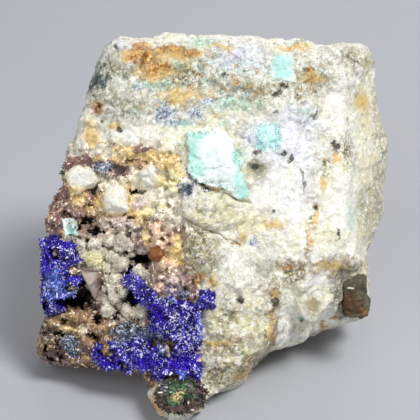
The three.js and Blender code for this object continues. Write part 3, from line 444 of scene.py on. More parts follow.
# Colours of the minerals: what each is, and its red, green and blue as the eye reads them, from 0 to 255.
COLOURS = {
    "milk": ("The whitest quartz", 250, 249, 240),
    "cream": ("Quartz with a little iron in it", 242, 238, 208),
    "straw": ("The yellowest quartz grains", 232, 220, 164),
    "lavender": ("The cool quartz of the middle right", 226, 230, 246),
    "grey_quartz": ("Quartz clear enough to look grey", 204, 206, 192),
    "grey_olive": ("Fine dark threads between the quartz grains", 128, 124, 100),
    # Khaki is also laid in the quartz's hollows, as dirt and as painted shade.
    "khaki": ("Dirt in the hollows of the quartz", 176, 160, 112),
    "olive_quartz": ("The yellowish clear mass below the plate", 226, 219, 176),
    "ochre": ("Pale iron stain", 231, 186, 106),
    "rust": ("Strong iron stain", 174, 106, 42),
    "umber": ("The darkest iron stain", 92, 58, 30),
    # Black for dark crystals and stains, and painted shade in hollows and pockets.
    "soot": ("Black crystals and hollows", 26, 20, 17),
    "denim": ("Thin blue stain", 112, 132, 168),
    "navy": ("Dark specks in the blue stain", 66, 84, 130),
    "smoky": ("Clear quartz that looks dark", 168, 166, 142),
    "sea_green": ("Thin green copper stain", 174, 228, 208),
    "deep_teal": ("Dark green-black spots", 40, 66, 66),
    "gossan_brown": ("The brown of the gossan", 126, 96, 76),
    # Dusk is also laid in hollows as painted shade.
    "plum": ("Purplish brown grains", 150, 116, 112),
    "dusk": ("Dark purplish earth of the lower corner", 98, 78, 74),
    "tan": ("Light brown grains", 178, 146, 108),
    "gold": ("Ochre yellow grains", 248, 219, 154),
    "salmon": ("Pink iron-stained quartz", 255, 218, 188),
    "ash": ("Pinkish grey grains", 200, 192, 178),
    "pale": ("Cream quartz grains", 254, 247, 226),
    "steel": ("Blue-grey crystals", 122, 138, 168),
    "sky": ("The lightest of the blue crystals", 112, 148, 250),
    # Painted shade between the blue crystals.
    "ink": ("The dark between the blue crystals", 20, 12, 54),
    "lilac": ("Pinkish grey lumps", 225, 206, 201),
    "butter": ("Pale yellow quartz in the gossan", 255, 248, 190),
    "violet": ("Smooth violet-blue crystals", 62, 26, 196),
    "linarite_deep": ("The darkest of the blue", 24, 8, 104),
    "linarite_bright": ("The brightest of the blue", 76, 56, 222),
    "snow": ("The whitest part of the plate", 244, 254, 251),
    "turquoise": ("The green of the plate's edges", 170, 232, 216),
    "petrol": ("Dark threads in the films", 44, 86, 84),
    "aqua": ("The pale green films", 190, 238, 230),
    "speck_blue": ("Specks in the lower film", 96, 138, 172),
    "rust_brown": ("Brown limonite", 150, 92, 44),
    "olive_brown": ("The dark block at the right", 58, 50, 30),
    "block_olive": ("The lighter parts of the dark block", 90, 85, 62),
    "rose": ("The pyramid crystal", 212, 190, 186),
    "emerald": ("Green crystals", 24, 128, 84),
    "moss": ("Pale green of the knob", 84, 112, 84),
    "knob_dark": ("The dark crystals of the knob", 36, 32, 26),
    # Painted glints on the blue crystals.
    "linarite_pale": ("Faces that catch the light", 228, 226, 255),
}

# The studio lamps, each (place on the face, side in metres, power in watts).
LAMPS = {
    "key": ((170, 240, 250), 0.13, 1.25),
    "fill": ((-180, 60, 260), 0.3, 0.4),
    "back": ((40, 260, -220), 0.3, 0.45),
}

# The camera looks straight at the leaning face.
LENS = 120  # millimetres
CAMERA_TARGET = (-0.09, 18.68, -5)  # on the face
CAMERA_DISTANCE = 0.1306  # metres


# Meshes


def places_of(shape):
    """The place of each vertex in metres, as an array."""
    return numpy.array([vertex.co for vertex in shape.verts])


def normals_of(shape):
    """The direction that each vertex faces, as an array."""
    shape.normal_update()
    return numpy.array([vertex.normal for vertex in shape.verts])


def face_frame(shape):
    """The across, up and out of each vertex in millimetres, as three arrays."""
    return ((places_of(shape) - numpy.array(FACE_FOOT)) @ numpy.array(FACE_AXES).T / MM).T


def on_face(across, up, out):
    """A place in metres from its (across, up, out) in millimetres."""
    return FACE_FOOT + FACE_AXES.transposed() @ Vector((across, up, out)) * MM


def gap_to_line(points, across, up):
    """How far each place lies from a line of points."""
    nearest = numpy.full(across.shape, numpy.inf)
    for (ax, ay), (bx, by) in zip(points, points[1:]):
        run, rise = bx - ax, by - ay
        share = share_of(((across - ax) * run + (up - ay) * rise) / (run**2 + rise**2))
        gap = numpy.hypot(across - ax - share * run, up - ay - share * rise)
        nearest = numpy.minimum(nearest, gap)
    return nearest


def depth_inside(outline, across, up):
    """How far inside an outline each place lies, less than 0 outside it."""
    inside = numpy.zeros(across.shape, bool)
    for (ax, ay), (bx, by) in zip(outline, outline[1:] + outline[:1]):
        if ay != by:
            crossing = ax + (up - ay) / (by - ay) * (bx - ax)
            inside ^= ((ay > up) != (by > up)) & (across < crossing)
    nearest = gap_to_line(outline + outline[:1], across, up)
    return numpy.where(inside, nearest, -nearest)


def share_of(values):
    """Values held between 0 and 1."""
    return numpy.clip(values, 0, 1)


def shape_of(mesh):
    """A mesh as a bmesh."""
    shape = bmesh.new()
    shape.from_mesh(mesh)
    return shape


def from_cad(node):
    """A CAD node's mesh as a bmesh, with its loose triangles joined up."""
    shape = shape_of(frame["nodes"][node].data)
    bmesh.ops.remove_doubles(shape, verts=shape.verts, dist=1e-7)
    return shape


def put_in_scene(name, shape):
    """A new object with a bmesh's shape, which is used up."""
    mesh = bpy.data.meshes.new(name)
    shape.to_mesh(mesh)
    shape.free()
    return linked(name, mesh)


def linked(name, data):
    """A new object in the scene."""
    thing = bpy.data.objects.new(name, data)
    bpy.context.collection.objects.link(thing)
    return thing


def taken_out(thing):
    """The finished shape of an object, with its modifiers worked in, as a bmesh. The object is removed."""
    worked_in = thing.evaluated_get(bpy.context.evaluated_depsgraph_get())
    shape = shape_of(worked_in.to_mesh())
    worked_in.to_mesh_clear()
    mesh = thing.data
    bpy.data.objects.remove(thing)
    bpy.data.meshes.remove(mesh)
    return shape


def one_skin(shape, step):
    """Joins everything in a bmesh under one closed skin of even quads, with a step in millimetres."""
    thing = put_in_scene("skin", shape)
    remesh = thing.modifiers.new("skin", "REMESH")
    remesh.mode = "VOXEL"
    remesh.voxel_size = step * MM
    return taken_out(thing)


def smoothed(shape):
    """Evens out a shape a little."""
    axes = {"use_axis_x": True, "use_axis_y": True, "use_axis_z": True}
    bmesh.ops.smooth_vert(shape, verts=shape.verts, factor=0.5, **axes)


def keep_where(shape, wanted, enough=all):
    """Keeps the faces whose vertices are all wanted, or any of them, and drops the others."""
    shape.verts.index_update()
    dropped = [face for face in shape.faces if not enough(wanted[vertex.index] for vertex in face.verts)]
    bmesh.ops.delete(shape, geom=dropped, context="FACES")


def at_each(shape, formula):
    """The values of a formula of the place in millimetres, for each vertex."""
    return numpy.array([formula(vertex.co / MM) for vertex in shape.verts])


def facing(shape, direction):
    """How far each vertex of a shape faces a direction, from -1 to 1."""
    return normals_of(shape) @ numpy.array(direction)


def push_out(shape, heights):
    """Moves each vertex along its normal by its own height in millimetres."""
    shape.normal_update()
    for vertex, height in zip(shape.verts, heights):
        vertex.co += vertex.normal * float(height) * MM


def draw_back(shape, direction, depths):
    """Moves each vertex against a direction by its own depth in millimetres."""
    for vertex, depth in zip(shape.verts, depths):
        vertex.co -= direction * float(depth) * MM


def chips(place, size, seed):
    """Height of a surface broken into flat chips of about a size, each tilted its own way, joined by short
    slopes."""
    scaled = place / size + Vector((seed, 0, -seed))
    gaps, middles = noise.voronoi(scaled)
    height = total = 0.0
    for gap, middle in zip(gaps, middles):
        # The nearest chip counts for almost everything, except close to the line where two meet.
        share = (gap + 0.02) ** -12
        height += share * (scaled - middle).dot(noise.noise_vector(middle * 7.31))
        total += share
    return height / total * size


def broken(place, *rows):
    """Height of chips of several sizes on each other, each (height, size, seed)."""
    return sum(height * chips(place, size, seed) for height, size, seed in rows)


def grains(place, size):
    """Height of a surface of rounded grains of about a size, from 0 between them to 1 on top."""
    gaps = noise.voronoi(place / size)[0]
    return min((gaps[1] - gaps[0]) * 2.5, 1.0)


def rough(place, size, octaves=3, seed=0.0):
    """Height of smooth random relief, from about -1 to 1."""
    return noise.fractal(place / size + Vector((seed, seed, 0)), 0.9, 2.0, octaves)


def tuck_in(shape):
    """Draws back what a crust grows past the left edge of the front or below the foot of its ledge."""
    left_edge, foot, ledge_end, share = -15.5, 4.2, -5.6, 0.65
    across, up, _ = face_frame(shape)
    beyond = numpy.minimum(across - left_edge, 0) * share
    below = numpy.minimum(up - foot, 0) * share_of(ledge_end - across) * share
    for vertex, side, drop in zip(shape.verts, beyond, below):
        vertex.co -= (FACE_RIGHT * float(side) + FACE_UP * float(drop)) * MM


def front_of(node):
    """The surface of a CAD node, for finding places on its front."""
    return BVHTree.FromBMesh(from_cad(node))


def hit_on(surface, across, up):
    """The place in metres on the front of a surface at (across, up), or None where there is nothing."""
    return surface.ray_cast(on_face(across, up, IN_FRONT), -FACE_OUT)[0]


def place_on(surface, across, up, rise=0.0):
    """The place in metres on the front of a surface at (across, up), raised by a height in millimetres."""
    hit = hit_on(surface, across, up)
    if hit is None:
        raise ValueError(f"nothing lies behind ({across}, {up}) on the front")
    return hit + FACE_OUT * rise * MM


def set_down(shape, place, sizes, turn):
    """Puts a shape one unit across at a place on the front, with its three sizes in millimetres."""
    scale = Matrix.Diagonal((sizes[0] * MM, sizes[1] * MM, sizes[2] * MM, 1))
    upright = Matrix.Translation(place) @ FACE_AXES.transposed().to_4x4()
    bmesh.ops.transform(shape, matrix=upright @ Matrix.Rotation(turn, 4, "Z") @ scale, verts=shape.verts)


def keep_hollows(shape, rounds, depth):
    """Stores on each vertex how far it lies in a hollow: 0 on a ridge, 0.5 on the flat, and 1 where it is
    deeper by a depth in millimetres than the surface smoothed a number of times."""
    normals = normals_of(shape)
    places = places_of(shape) / MM
    shape.verts.index_update()
    ends = numpy.array([[vertex.index for vertex in edge.verts] for edge in shape.edges])
    both_ways = numpy.concatenate((ends, ends[:, ::-1]))
    total = len(places)
    neighbours = numpy.bincount(both_ways[:, 0], minlength=total)
    smooth = places
    for _ in range(rounds):
        sums = [numpy.bincount(both_ways[:, 0], smooth[both_ways[:, 1], axis], total) for axis in range(3)]
        smooth = numpy.stack(sums, axis=1) / neighbours[:, None]
    keep_values(shape, "hollow", 0.5 + ((smooth - places) * normals).sum(axis=1) / depth / 2)


def keep_values(shape, name, values):
    """Stores a value for each vertex under a name."""
    layer = shape.verts.layers.float.new(name)
    for vertex, value in zip(shape.verts, values):
        vertex[layer] = value


def shifted(shape, size, amount):
    """The across and up of each vertex in millimetres, pushed about by noise to tear what follows them."""
    across, up, _ = face_frame(shape)
    push = at_each(shape, lambda place: noise.turbulence_vector(place / size, 4, False))
    return across + push[:, 0] * amount, up + push[:, 2] * amount


def reach_of(oval, across, up):
    """How far out of an oval's middle each place lies: 1 on its edge."""
    middle, height, half_width, half_height, *_ = oval
    return numpy.hypot((across - middle) / half_width, (up - height) / half_height)


def levels(rows, across, up):
    """How far inside a set of ovals each place lies: 1 in an oval's middle, 0 on its edge, less outside."""
    level = numpy.full(across.shape, -1.0)
    for oval in rows:
        level = numpy.maximum(level, 1 - reach_of(oval, across, up))
    return level


def paint(shape, patches, torn=0.0, prefix=""):
    """Stores on each vertex how strongly each kind of patch colours it: 0.5 at a patch's outline, 1 in its
    middle, and 0 behind the front."""
    across, up = shifted(shape, 1.2, torn)
    front = share_of((face_frame(shape)[2] + 10) / 3)
    for kind, rows in patches.items():
        keep_values(shape, prefix + kind, (0.5 + levels(rows, across, up) / 2) * front)


def finished(name, shape, node, finish):
    """Puts a piece in the scene in place of its CAD node, with its material."""
    piece = put_in_scene(name, shape)
    for polygon in piece.data.polygons:
        polygon.use_smooth = False
    piece.data.materials.append(finish)
    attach(piece, "root")
    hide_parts(node)
    return piece


# Materials


class Value:
    """A shader value that can be used in a Python expression. Each operation adds its Math node."""

    def __init__(self, finish, socket):
        self.finish = finish
        self.socket = socket

    def calc(self, operation, *others):
        inputs = dict(enumerate((self,) + others))
        return self.finish.node("ShaderNodeMath", {"operation": operation}, inputs)

    def __add__(self, other):
        return self.calc("ADD", other)

    def __sub__(self, other):
        return self.calc("SUBTRACT", other)

    def __mul__(self, other):
        return self.calc("MULTIPLY", other)

    def __rsub__(self, other):
        return self.finish.node("ShaderNodeMath", {"operation": "SUBTRACT"}, {0: other, 1: self})

    def __abs__(self):
        return self.calc("ABSOLUTE")

    def most(self, other):
        return self.calc("MAXIMUM", other)

    __radd__ = __add__
    __rmul__ = __mul__

    def ramp(self, start, end, low=0.0, high=1.0):
        """Low below start, high above end, and a smooth slope between them."""
        inputs = {0: self, 1: start, 2: end, 3: low, 4: high}
        return self.finish.node("ShaderNodeMapRange", {"interpolation_type": "SMOOTHSTEP"}, inputs)


class Finish:
    """A material under construction: its nodes, the links between them, and the colour reached so far.

    A colour is a value, or the name of one of the specimen's colours."""

    def __init__(self, name):
        self.material = bpy.data.materials.new(name)
        self.material.use_nodes = True
        self.tree = self.material.node_tree
        self.shader = self.tree.nodes["Principled BSDF"]
        self.links = {}
        place = self.node("ShaderNodeTexCoord", {}, {}, "Object")
        self.place = self.vector("SCALE", {0: place, "Scale": 1 / MM})

    def feed(self, made, inputs):
        """Gives a node's sockets their values or links."""
        for socket, value in inputs.items():
            if isinstance(value, Value):
                self.tree.links.new(value.socket, made.inputs[socket])
            elif isinstance(value, str):
                made.inputs[socket].default_value = getattr(bpy.context.scene.specimen_colours, value)
            else:
                made.inputs[socket].default_value = value

    def node(self, kind, settings, inputs, output=0):
        """Adds a node, sets it up, feeds its sockets, and gives back one of its outputs."""
        made = self.tree.nodes.new(kind)
        for setting, value in settings.items():
            setattr(made, setting, value)
        self.feed(made, inputs)
        return Value(self, made.outputs[output])

    def vector(self, operation, inputs, output=0):
        """A step of vector maths."""
        return self.node("ShaderNodeVectorMath", {"operation": operation}, inputs, output)

    def noise(self, size, detail=2.0, roughness=0.5, place=None):
        """Smooth noise from 0 to 1, in blobs of about a size in millimetres."""
        inputs = {"Vector": place or self.place, "Scale": 1 / size}
        inputs |= {"Detail": detail, "Roughness": roughness}
        return self.node("ShaderNodeTexNoise", {}, inputs)

    def cells(self, size, output, place):
        """Cells of about a size in millimetres: their middles or their colours."""
        inputs = {"Vector": place or self.place, "Scale": 1 / size}
        return self.node("ShaderNodeTexVoronoi", {}, inputs, output)

    def cell_value(self, size, place):
        """A random value from 0 to 1 for each cell of about a size in millimetres."""
        return self.node("ShaderNodeSeparateColor", {}, {0: self.cells(size, "Color", place)})

    def threads(self, size, width, seed=0.0):
        """Thin crooked lines, 1 in their middles and 0 elsewhere, in loops of a size in millimetres."""
        place = self.vector("ADD", {0: self.place, 1: (seed, seed, seed)})
        return abs(self.noise(size, 4, 0.7, place) - 0.5).ramp(0.0, width, 1.0, 0.0)

    def facets(self, size, place=None):
        """Height in millimetres of a surface of flat facets of about a size, each tilted its own way."""
        away = self.vector("SUBTRACT", {0: place or self.place, 1: self.cells(size, "Position", place)})
        tilt = self.vector("SUBTRACT", {0: self.cells(size, "Color", place), 1: (0.5, 0.5, 0.5)})
        return self.vector("DOT_PRODUCT", {0: away, 1: tilt}, "Value")

    def warped(self, size, amount):
        """The place, pushed about by noise of a size, to bend the straight edges of what is drawn on it."""
        push = self.node("ShaderNodeTexNoise", {}, {"Vector": self.place, "Scale": 1 / size}, "Color")
        return self.vector("MULTIPLY_ADD", {0: push, 1: (amount, amount, amount), 2: self.place})

    def stretched(self, *scales):
        """The place with each axis scaled its own way, for patterns drawn out in one direction."""
        return self.vector("MULTIPLY", {0: self.place, 1: scales})

    def painted(self, name):
        """A value stored on the mesh."""
        return self.node("ShaderNodeAttribute", {"attribute_name": name}, {}, "Fac")

    def patch(self, name, edge, ragged, soft):
        """The share of a painted stain, with its edge broken up by a noise."""
        level = self.painted(name) + (edge - 0.5) * ragged
        return level.ramp(0.5 - soft, 0.5 + soft)

    def mix(self, below, above, share, blend="MIX"):
        """One colour over another."""
        settings = {"data_type": "RGBA", "blend_type": blend}
        return self.node("ShaderNodeMix", settings, {0: share, 6: below, 7: above}, 2)

    def lay(self, colour, share):
        """Lays a colour over what is there."""
        self.colour = self.mix(self.colour, colour, share)

    def stain(self, name, edge, ragged, soft, share=1.0, colour=None):
        """Lays a colour over the painted stain of a name. Without a colour, the stain's name gives it."""
        self.lay(colour or name, self.patch(name, edge, ragged, soft) * share)

    def shade(self, value):
        """Makes what is there lighter or darker by a value."""
        scale = self.node("ShaderNodeCombineColor", {}, {0: value, 1: value, 2: value})
        self.colour = self.mix(self.colour, scale, 1.0, "MULTIPLY")

    def bump(self, height, distance, strength):
        """Fine relief, with its depth in millimetres at a height of 1."""
        inputs = {"Height": height, "Distance": distance * MM, "Strength": strength}
        self.links["Normal"] = self.node("ShaderNodeBump", {}, inputs)

    def done(self, roughness, **sockets):
        """Connects what was built to the surface shader, and gives back the material."""
        self.feed(self.shader, {"Base Color": self.colour, "Roughness": roughness} | self.links | sockets)
        return self.material


def tone(red, green, blue):
    """A colour as the eye reads it, from 0 to 255 each, as the shader wants it."""
    return tuple(((level / 255) ** 2.2) for level in (red, green, blue)) + (1.0,)


# Growing many small things on a surface


def strewn(ground, part, per_mm2, smallest, largest, lean, seed):
    """Copies of a part grown on the faces of a ground, each with its own size, turn and lean. Sizes are in
    millimetres.

    Each copy's vertices keep a random value of their own in the layer named own."""
    tree = bpy.data.node_groups.new("strewn", "GeometryNodeTree")
    for side in ("INPUT", "OUTPUT"):
        tree.interface.new_socket("Geometry", in_out=side, socket_type="NodeSocketGeometry")
    part_thing = put_in_scene("part", part.copy())

    def node(kind, inputs, **settings):
        made = tree.nodes.new(kind)
        for setting, value in settings.items():
            setattr(made, setting, value)
        for socket, value in inputs.items():
            if isinstance(value, bpy.types.NodeSocket):
                tree.links.new(value, made.inputs[socket])
            else:
                made.inputs[socket].default_value = value
        return made.outputs

    def random_vector(low, high, number):
        inputs = {0: low, 1: high, "Seed": number}
        return node("FunctionNodeRandomValue", inputs, data_type="FLOAT_VECTOR")[0]

    source = node("NodeGroupInput", {})[0]
    density = {"Mesh": source, "Density": per_mm2 / MM**2, "Seed": seed}
    points = node("GeometryNodeDistributePointsOnFaces", density)
    leaning = random_vector((-lean, -lean, 0), (lean, lean, math.tau), seed + 1)
    away = node("FunctionNodeEulerToRotation", {0: leaning})[0]
    turn = {"Rotation": points["Rotation"], "Rotate By": away}
    turned = node("FunctionNodeRotateRotation", turn, rotation_space="LOCAL")[0]
    size = random_vector([s * MM for s in smallest], [s * MM for s in largest], seed + 2)
    what = node("GeometryNodeObjectInfo", {"Object": part_thing})["Geometry"]
    copy = {"Points": points["Points"], "Instance": what, "Rotation": turned, "Scale": size}
    copies = node("GeometryNodeInstanceOnPoints", copy)[0]
    own = node("FunctionNodeRandomValue", {"Seed": seed + 3}, data_type="FLOAT")[1]
    mark = {"Geometry": copies, "Name": "own", "Value": own}
    marked = node("GeometryNodeStoreNamedAttribute", mark, data_type="FLOAT", domain="INSTANCE")[0]
    node("NodeGroupOutput", {0: node("GeometryNodeRealizeInstances", {"Geometry": marked})[0]})

    ground_thing = put_in_scene("ground", ground.copy())
    ground_thing.modifiers.new("strewn", "NODES").node_group = tree
    copies_shape = taken_out(ground_thing)
    bpy.data.objects.remove(part_thing)
    bpy.data.node_groups.remove(tree)
    return copies_shape


def join_in(shape, other):
    """Adds another bmesh to a shape. The other is used up."""
    mesh = bpy.data.meshes.new("joined")
    other.to_mesh(mesh)
    other.free()
    shape.from_mesh(mesh)
    bpy.data.meshes.remove(mesh)


def blade():
    """A small bladed crystal with a slanting tip, one unit long, standing on the ground."""
    shape = bmesh.new()
    bmesh.ops.create_cone(shape, cap_ends=True, segments=5, radius1=0.5, radius2=0.46, depth=0.8)
    top = max(shape.faces, key=lambda face: face.calc_center_median().z)
    tip = bmesh.ops.extrude_face_region(shape, geom=[top])["geom"]
    corners = [part for part in tip if isinstance(part, bmesh.types.BMVert)]
    middle = Matrix.Translation((0, 0, -0.4))
    bmesh.ops.scale(shape, vec=(0.2, 0.55, 1), space=middle, verts=corners)
    bmesh.ops.translate(shape, vec=(0.08, 0, 0.26), verts=corners)
    bmesh.ops.delete(shape, geom=[top], context="FACES_ONLY")
    bmesh.ops.translate(shape, vec=(0, 0, 0.2), verts=shape.verts)
    return shape


def pebble(seed, flats, detail, nearest, farthest):
    """A lump one unit across, flattened on a number of sides."""
    shape = bmesh.new()
    bmesh.ops.create_icosphere(shape, subdivisions=detail, radius=0.5)
    draw = random.Random(seed)
    for _ in range(flats):
        side = Vector([draw.gauss(0, 1) for _ in range(3)]).normalized()
        reach = draw.uniform(nearest, farthest)
        for vertex in shape.verts:
            over = vertex.co.dot(side) - reach
            if over > 0:
                vertex.co -= side * over
    return shape


def splinter():
    """A small blocky crystal with a slanted top, one unit high, standing on the ground."""
    shape = bmesh.new()
    bmesh.ops.create_cube(shape, size=1)
    top = [vertex for vertex in shape.verts if vertex.co.z > 0]
    bmesh.ops.scale(shape, vec=(0.55, 0.7, 1), verts=top)
    bmesh.ops.translate(shape, vec=(0.1, 0.06, 0), verts=top)
    bmesh.ops.translate(shape, vec=(0, 0, 0.3), verts=top[:2])
    bmesh.ops.scale(shape, vec=(0.8, 0.65, 0.7), verts=shape.verts)
    bmesh.ops.translate(shape, vec=(0, 0, 0.2), verts=shape.verts)
    return shape


def grown_on(thing, rows, part, per_mm2, smallest, largest, lean, seed):
    """Copies of a part grown on the front of a finished piece, inside a set of ovals with torn edges."""
    ground = shape_of(thing.data)
    wanted = (levels(rows, *shifted(ground, 0.8, 0.4)) > 0) & (facing(ground, FACE_OUT) > -0.1)
    keep_where(ground, wanted & (face_frame(ground)[2] > -8))
    shape = strewn(ground, part, per_mm2, smallest, largest, lean, seed)
    ground.free()
    return shape


def stone_lump(seed):
    """A rounded lump one unit across."""
    return pebble(seed, 9, 4, 0.32, 0.42)


def cream_grain(seed):
    """A lump with four smaller ones round it."""
    shape = stone_lump(seed)
    draw = random.Random(seed)
    for _ in range(4):
        part = pebble(draw.random(), 7, 3, 0.32, 0.44)
        turn = draw.uniform(0, math.tau)
        away = Vector((math.cos(turn), math.sin(turn), 0)) * 0.27
        bmesh.ops.scale(part, vec=(0.55, 0.5, 0.8), verts=part.verts)
        bmesh.ops.translate(part, vec=away, verts=part.verts)
        join_in(shape, part)
    return shape


def block(_):
    """A cube with worn lumps on all sides."""
    shape = bmesh.new()
    draw = random.Random(41)
    for _ in range(9):
        part = pebble(draw.random(), 6, 3, 0.3, 0.38)
        away = [draw.uniform(-0.2, 0.2) for _ in range(3)]
        bmesh.ops.scale(part, vec=(0.8, 0.62, 0.8), verts=part.verts)
        bmesh.ops.translate(part, vec=away, verts=part.verts)
        join_in(shape, part)
    bmesh.ops.create_cube(shape, size=0.84)
    return shape


def pyramid(_):
    """A steep crystal with three sides, its tip off its middle."""
    shape = bmesh.new()
    bmesh.ops.create_cone(shape, cap_ends=True, segments=3, radius1=0.58, radius2=0.02, depth=1)
    tip = [vertex for vertex in shape.verts if vertex.co.z > 0]
    bmesh.ops.translate(shape, vec=(0.12, 0.1, 0), verts=tip)
    return shape


# Finishes


def rock_finish():
    """Milky to yellowish quartz of many small glassy grains, with stains, and earth where the gossan is."""
    rock = Finish("broken_quartz")
    broad = rock.noise(4.5, 4, 0.6)
    fine = rock.noise(0.6, 5, 0.7)
    speckle = rock.noise(0.2, 3, 0.7)
    patchy = rock.noise(1.7, 4, 0.65)
    torn = 0.6 * fine + 0.4 * speckle
    warped = rock.warped(1.2, 0.9)
    grain = rock.cell_value(0.6, warped)
    small_grain = rock.cell_value(0.28, warped)
    tiny_grain = rock.cell_value(0.15, warped)
    satin = rock.patch("satin", torn, 0.5, 0.3)
    hollow = rock.painted("hollow")
    curls = rock.threads(1.1, 0.036) * patchy.ramp(0.42, 0.6)
    fine_curls = rock.threads(0.55, 0.05, 3.7) * fine.ramp(0.4, 0.6)
    curls = curls.most(fine_curls)

    rock.colour = rock.mix("milk", "cream", (broad + 0.6 * (fine - 0.5)).ramp(0.4, 0.64))
    rock.lay("straw", (patchy + 0.6 * (small_grain - 0.5)).ramp(0.62, 0.9) * 0.7)
    glassy = (rock.noise(2.3, 4, 0.65) + 0.5 * (small_grain - 0.5)).ramp(0.55, 0.8)
    rock.lay("grey_quartz", glassy * 0.55)
    rock.stain("lavender", torn, 0.8, 0.4, 0.9)
    rock.stain("grey", torn, 0.9, 0.35, grain.ramp(0.0, 1.0, 0.5), "grey_quartz")
    olive = rock.mix("olive_quartz", "straw", small_grain)
    yellowish = rock.patch("olive", torn, 0.7, 0.35)
    rock.lay(olive, yellowish * 0.85)
    rock.stain("milk", torn, 0.7, 0.35, 0.8)
    rock.stain("smoky", torn, 0.8, 0.35)
    coarse = rock.patch("coarse", torn, 0.6, 0.3)
    lumps = rock.cell_value(0.42, warped)
    rock.lay("milk", coarse * lumps.ramp(0.6, 0.68) * 0.7)
    rock.lay("grey_olive", coarse * lumps.ramp(0.22, 0.14) * 0.38)
    drawn = rock.noise(0.5, 4, 0.65, place=rock.stretched(1, 1, 0.22))
    rock.lay("straw", satin * drawn.ramp(0.5, 0.66) * 0.5)
    rock.lay("milk", satin * drawn.ramp(0.5, 0.36) * 0.7)
    busy = rock.noise(2.6, 3, 0.6).ramp(0.42, 0.58, 0.55, 1.1)
    tint = (0.08 * grain + 0.12 * small_grain + 0.14 * tiny_grain + 0.6 * (speckle - 0.5)) * busy
    rock.shade(0.88 + 0.1 * satin + tint * (1 - 0.55 * satin))
    # White specks: whiter grains, with painted glints among them.
    rock.lay("milk", (tiny_grain + 0.8 * (speckle - 0.5)).ramp(0.78, 0.9) * 0.8)
    clean = rock.patch("milk", torn, 0.7, 0.35)
    lines = rock.mix("grey_olive", "khaki", grain.ramp(0.4, 0.6))
    rock.lay(lines, curls * (1 - 0.8 * clean.most(satin)) * (1 - 0.5 * yellowish) * 0.65 * busy)

    # Khaki in the hollows: dirt, deepened further as painted shade.
    dirt_and_shade = (hollow + 0.5 * (patchy - 0.5) + 0.5 * (speckle - 0.5)).ramp(0.7, 1.05)
    rock.lay("khaki", dirt_and_shade * 0.4)
    cracks = (rock.painted("crack") + 0.9 * (torn - 0.5) + 0.6 * (patchy - 0.5)).ramp(0.45, 0.85)
    rock.lay(rock.mix("tan", "umber", small_grain), cracks * 0.5)
    stray = (patchy + 0.8 * (speckle - 0.5)).ramp(0.72, 0.85)
    rock.lay("ochre", stray * 0.5)

    behind = rock.painted("behind")
    clear = (rock.noise(5.0, 4, 0.65) + 0.5 * (small_grain - 0.5)).ramp(0.46, 0.62)
    rock.lay("smoky", clear * behind * 0.65)
    veins = rock.threads(5.0, 0.012, 1.9).most((patchy + 0.6 * (fine - 0.5)).ramp(0.58, 0.7) * 0.7)
    rock.lay("ochre", veins * torn.ramp(0.3, 0.5) * behind * 0.9)

    thin = (tiny_grain + 0.6 * (speckle - 0.5)).ramp(0.1, 0.4, 0.65, 1.0)
    mixed = rock.patch("mixed", torn, 1.0, 0.35)
    rock.lay("khaki", mixed * (patchy + speckle).ramp(1.0, 1.25) * 0.5)
    rock.lay("denim", mixed * rock.cell_value(0.4, warped).ramp(0.86, 0.9) * 0.45)
    rock.lay("sea_green", mixed * small_grain.ramp(0.3, 0.2) * 0.45)
    rock.lay("ochre", mixed * rock.cell_value(0.5, warped).ramp(0.82, 0.88) * 0.5)
    rock.lay("olive_brown", mixed * curls * grain.ramp(0.3, 0.6) * 0.9)
    banded = rock.patch("banded", torn, 1.4, 0.35)
    rock.lay("khaki", banded * small_grain.ramp(0.35, 0.6) * 0.75)
    spots = (tiny_grain + 0.5 * (fine - 0.5)).ramp(0.78, 0.88)
    rock.lay("olive_brown", banded * spots.most(curls) * 0.8)
    brown = rock.mix("tan", "umber", (small_grain + speckle).ramp(0.9, 1.6))
    rock.stain("brown", torn, 1.5, 0.3, thin * 0.65, brown)
    rock.stain("emerald", torn, 1.2, 0.3, 0.7)
    blue = rock.mix("lavender", "denim", (tiny_grain + 1.2 * (speckle - 0.5)).ramp(0.25, 0.7))
    blue = rock.mix(blue, "navy", (tiny_grain + 0.9 * (fine - 0.5)).ramp(0.62, 0.75) * 0.8)
    rock.stain("blue", torn, 1.6, 0.4, 0.9, blue)
    streaks = 0.5 * rock.noise(0.8, 4, 0.7, place=rock.stretched(0.5, 1, 1.3)) + 0.5 * torn
    ochre = rock.mix("ochre", "straw", small_grain * 0.6)
    rock.stain("ochre", streaks, 1.5, 0.35, thin, ochre)
    rust = rock.mix("rust", "ochre", (speckle + small_grain).ramp(0.8, 1.35))
    rust = rock.mix(rust, "umber", (patchy + hollow).ramp(1.05, 1.3) * 0.6)
    rock.stain("rust", streaks, 1.4, 0.3, thin, rust)
    rock.stain("green", torn, 1.2, 0.4, thin * 0.5, "sea_green")
    teal = rock.mix("deep_teal", "grey_quartz", (small_grain + 0.8 * (speckle - 0.5)).ramp(0.75, 1.0))
    rock.stain("teal", torn, 1.5, 0.3, 0.9, teal)
    rock.stain("dark", torn, 1.8, 0.3, 0.8, "olive_brown")
    rock.stain("dark", torn, 1.8, 0.2, speckle.ramp(0.45, 0.55) * 0.8, "soot")

    meeting = rock.painted("gossan") + 2.0 * (0.5 * torn + 0.5 * patchy - 0.5)
    halo = meeting.ramp(-0.1, 0.45) * small_grain.ramp(0.2, 0.6, 0.3, 0.9) * behind
    rock.lay(rock.mix("ochre", "tan", grain), halo * 0.8)
    earthy = meeting.ramp(0.44, 0.56)
    earth = rock.mix("gossan_brown", "plum", patchy.ramp(0.42, 0.6))
    earth = rock.mix(earth, "gold", (small_grain + 0.5 * (speckle - 0.5)).ramp(0.7, 0.9) * 0.5)
    earth = rock.mix(earth, "pale", (tiny_grain + 0.5 * (speckle - 0.5)).ramp(0.84, 0.96) * 0.6)
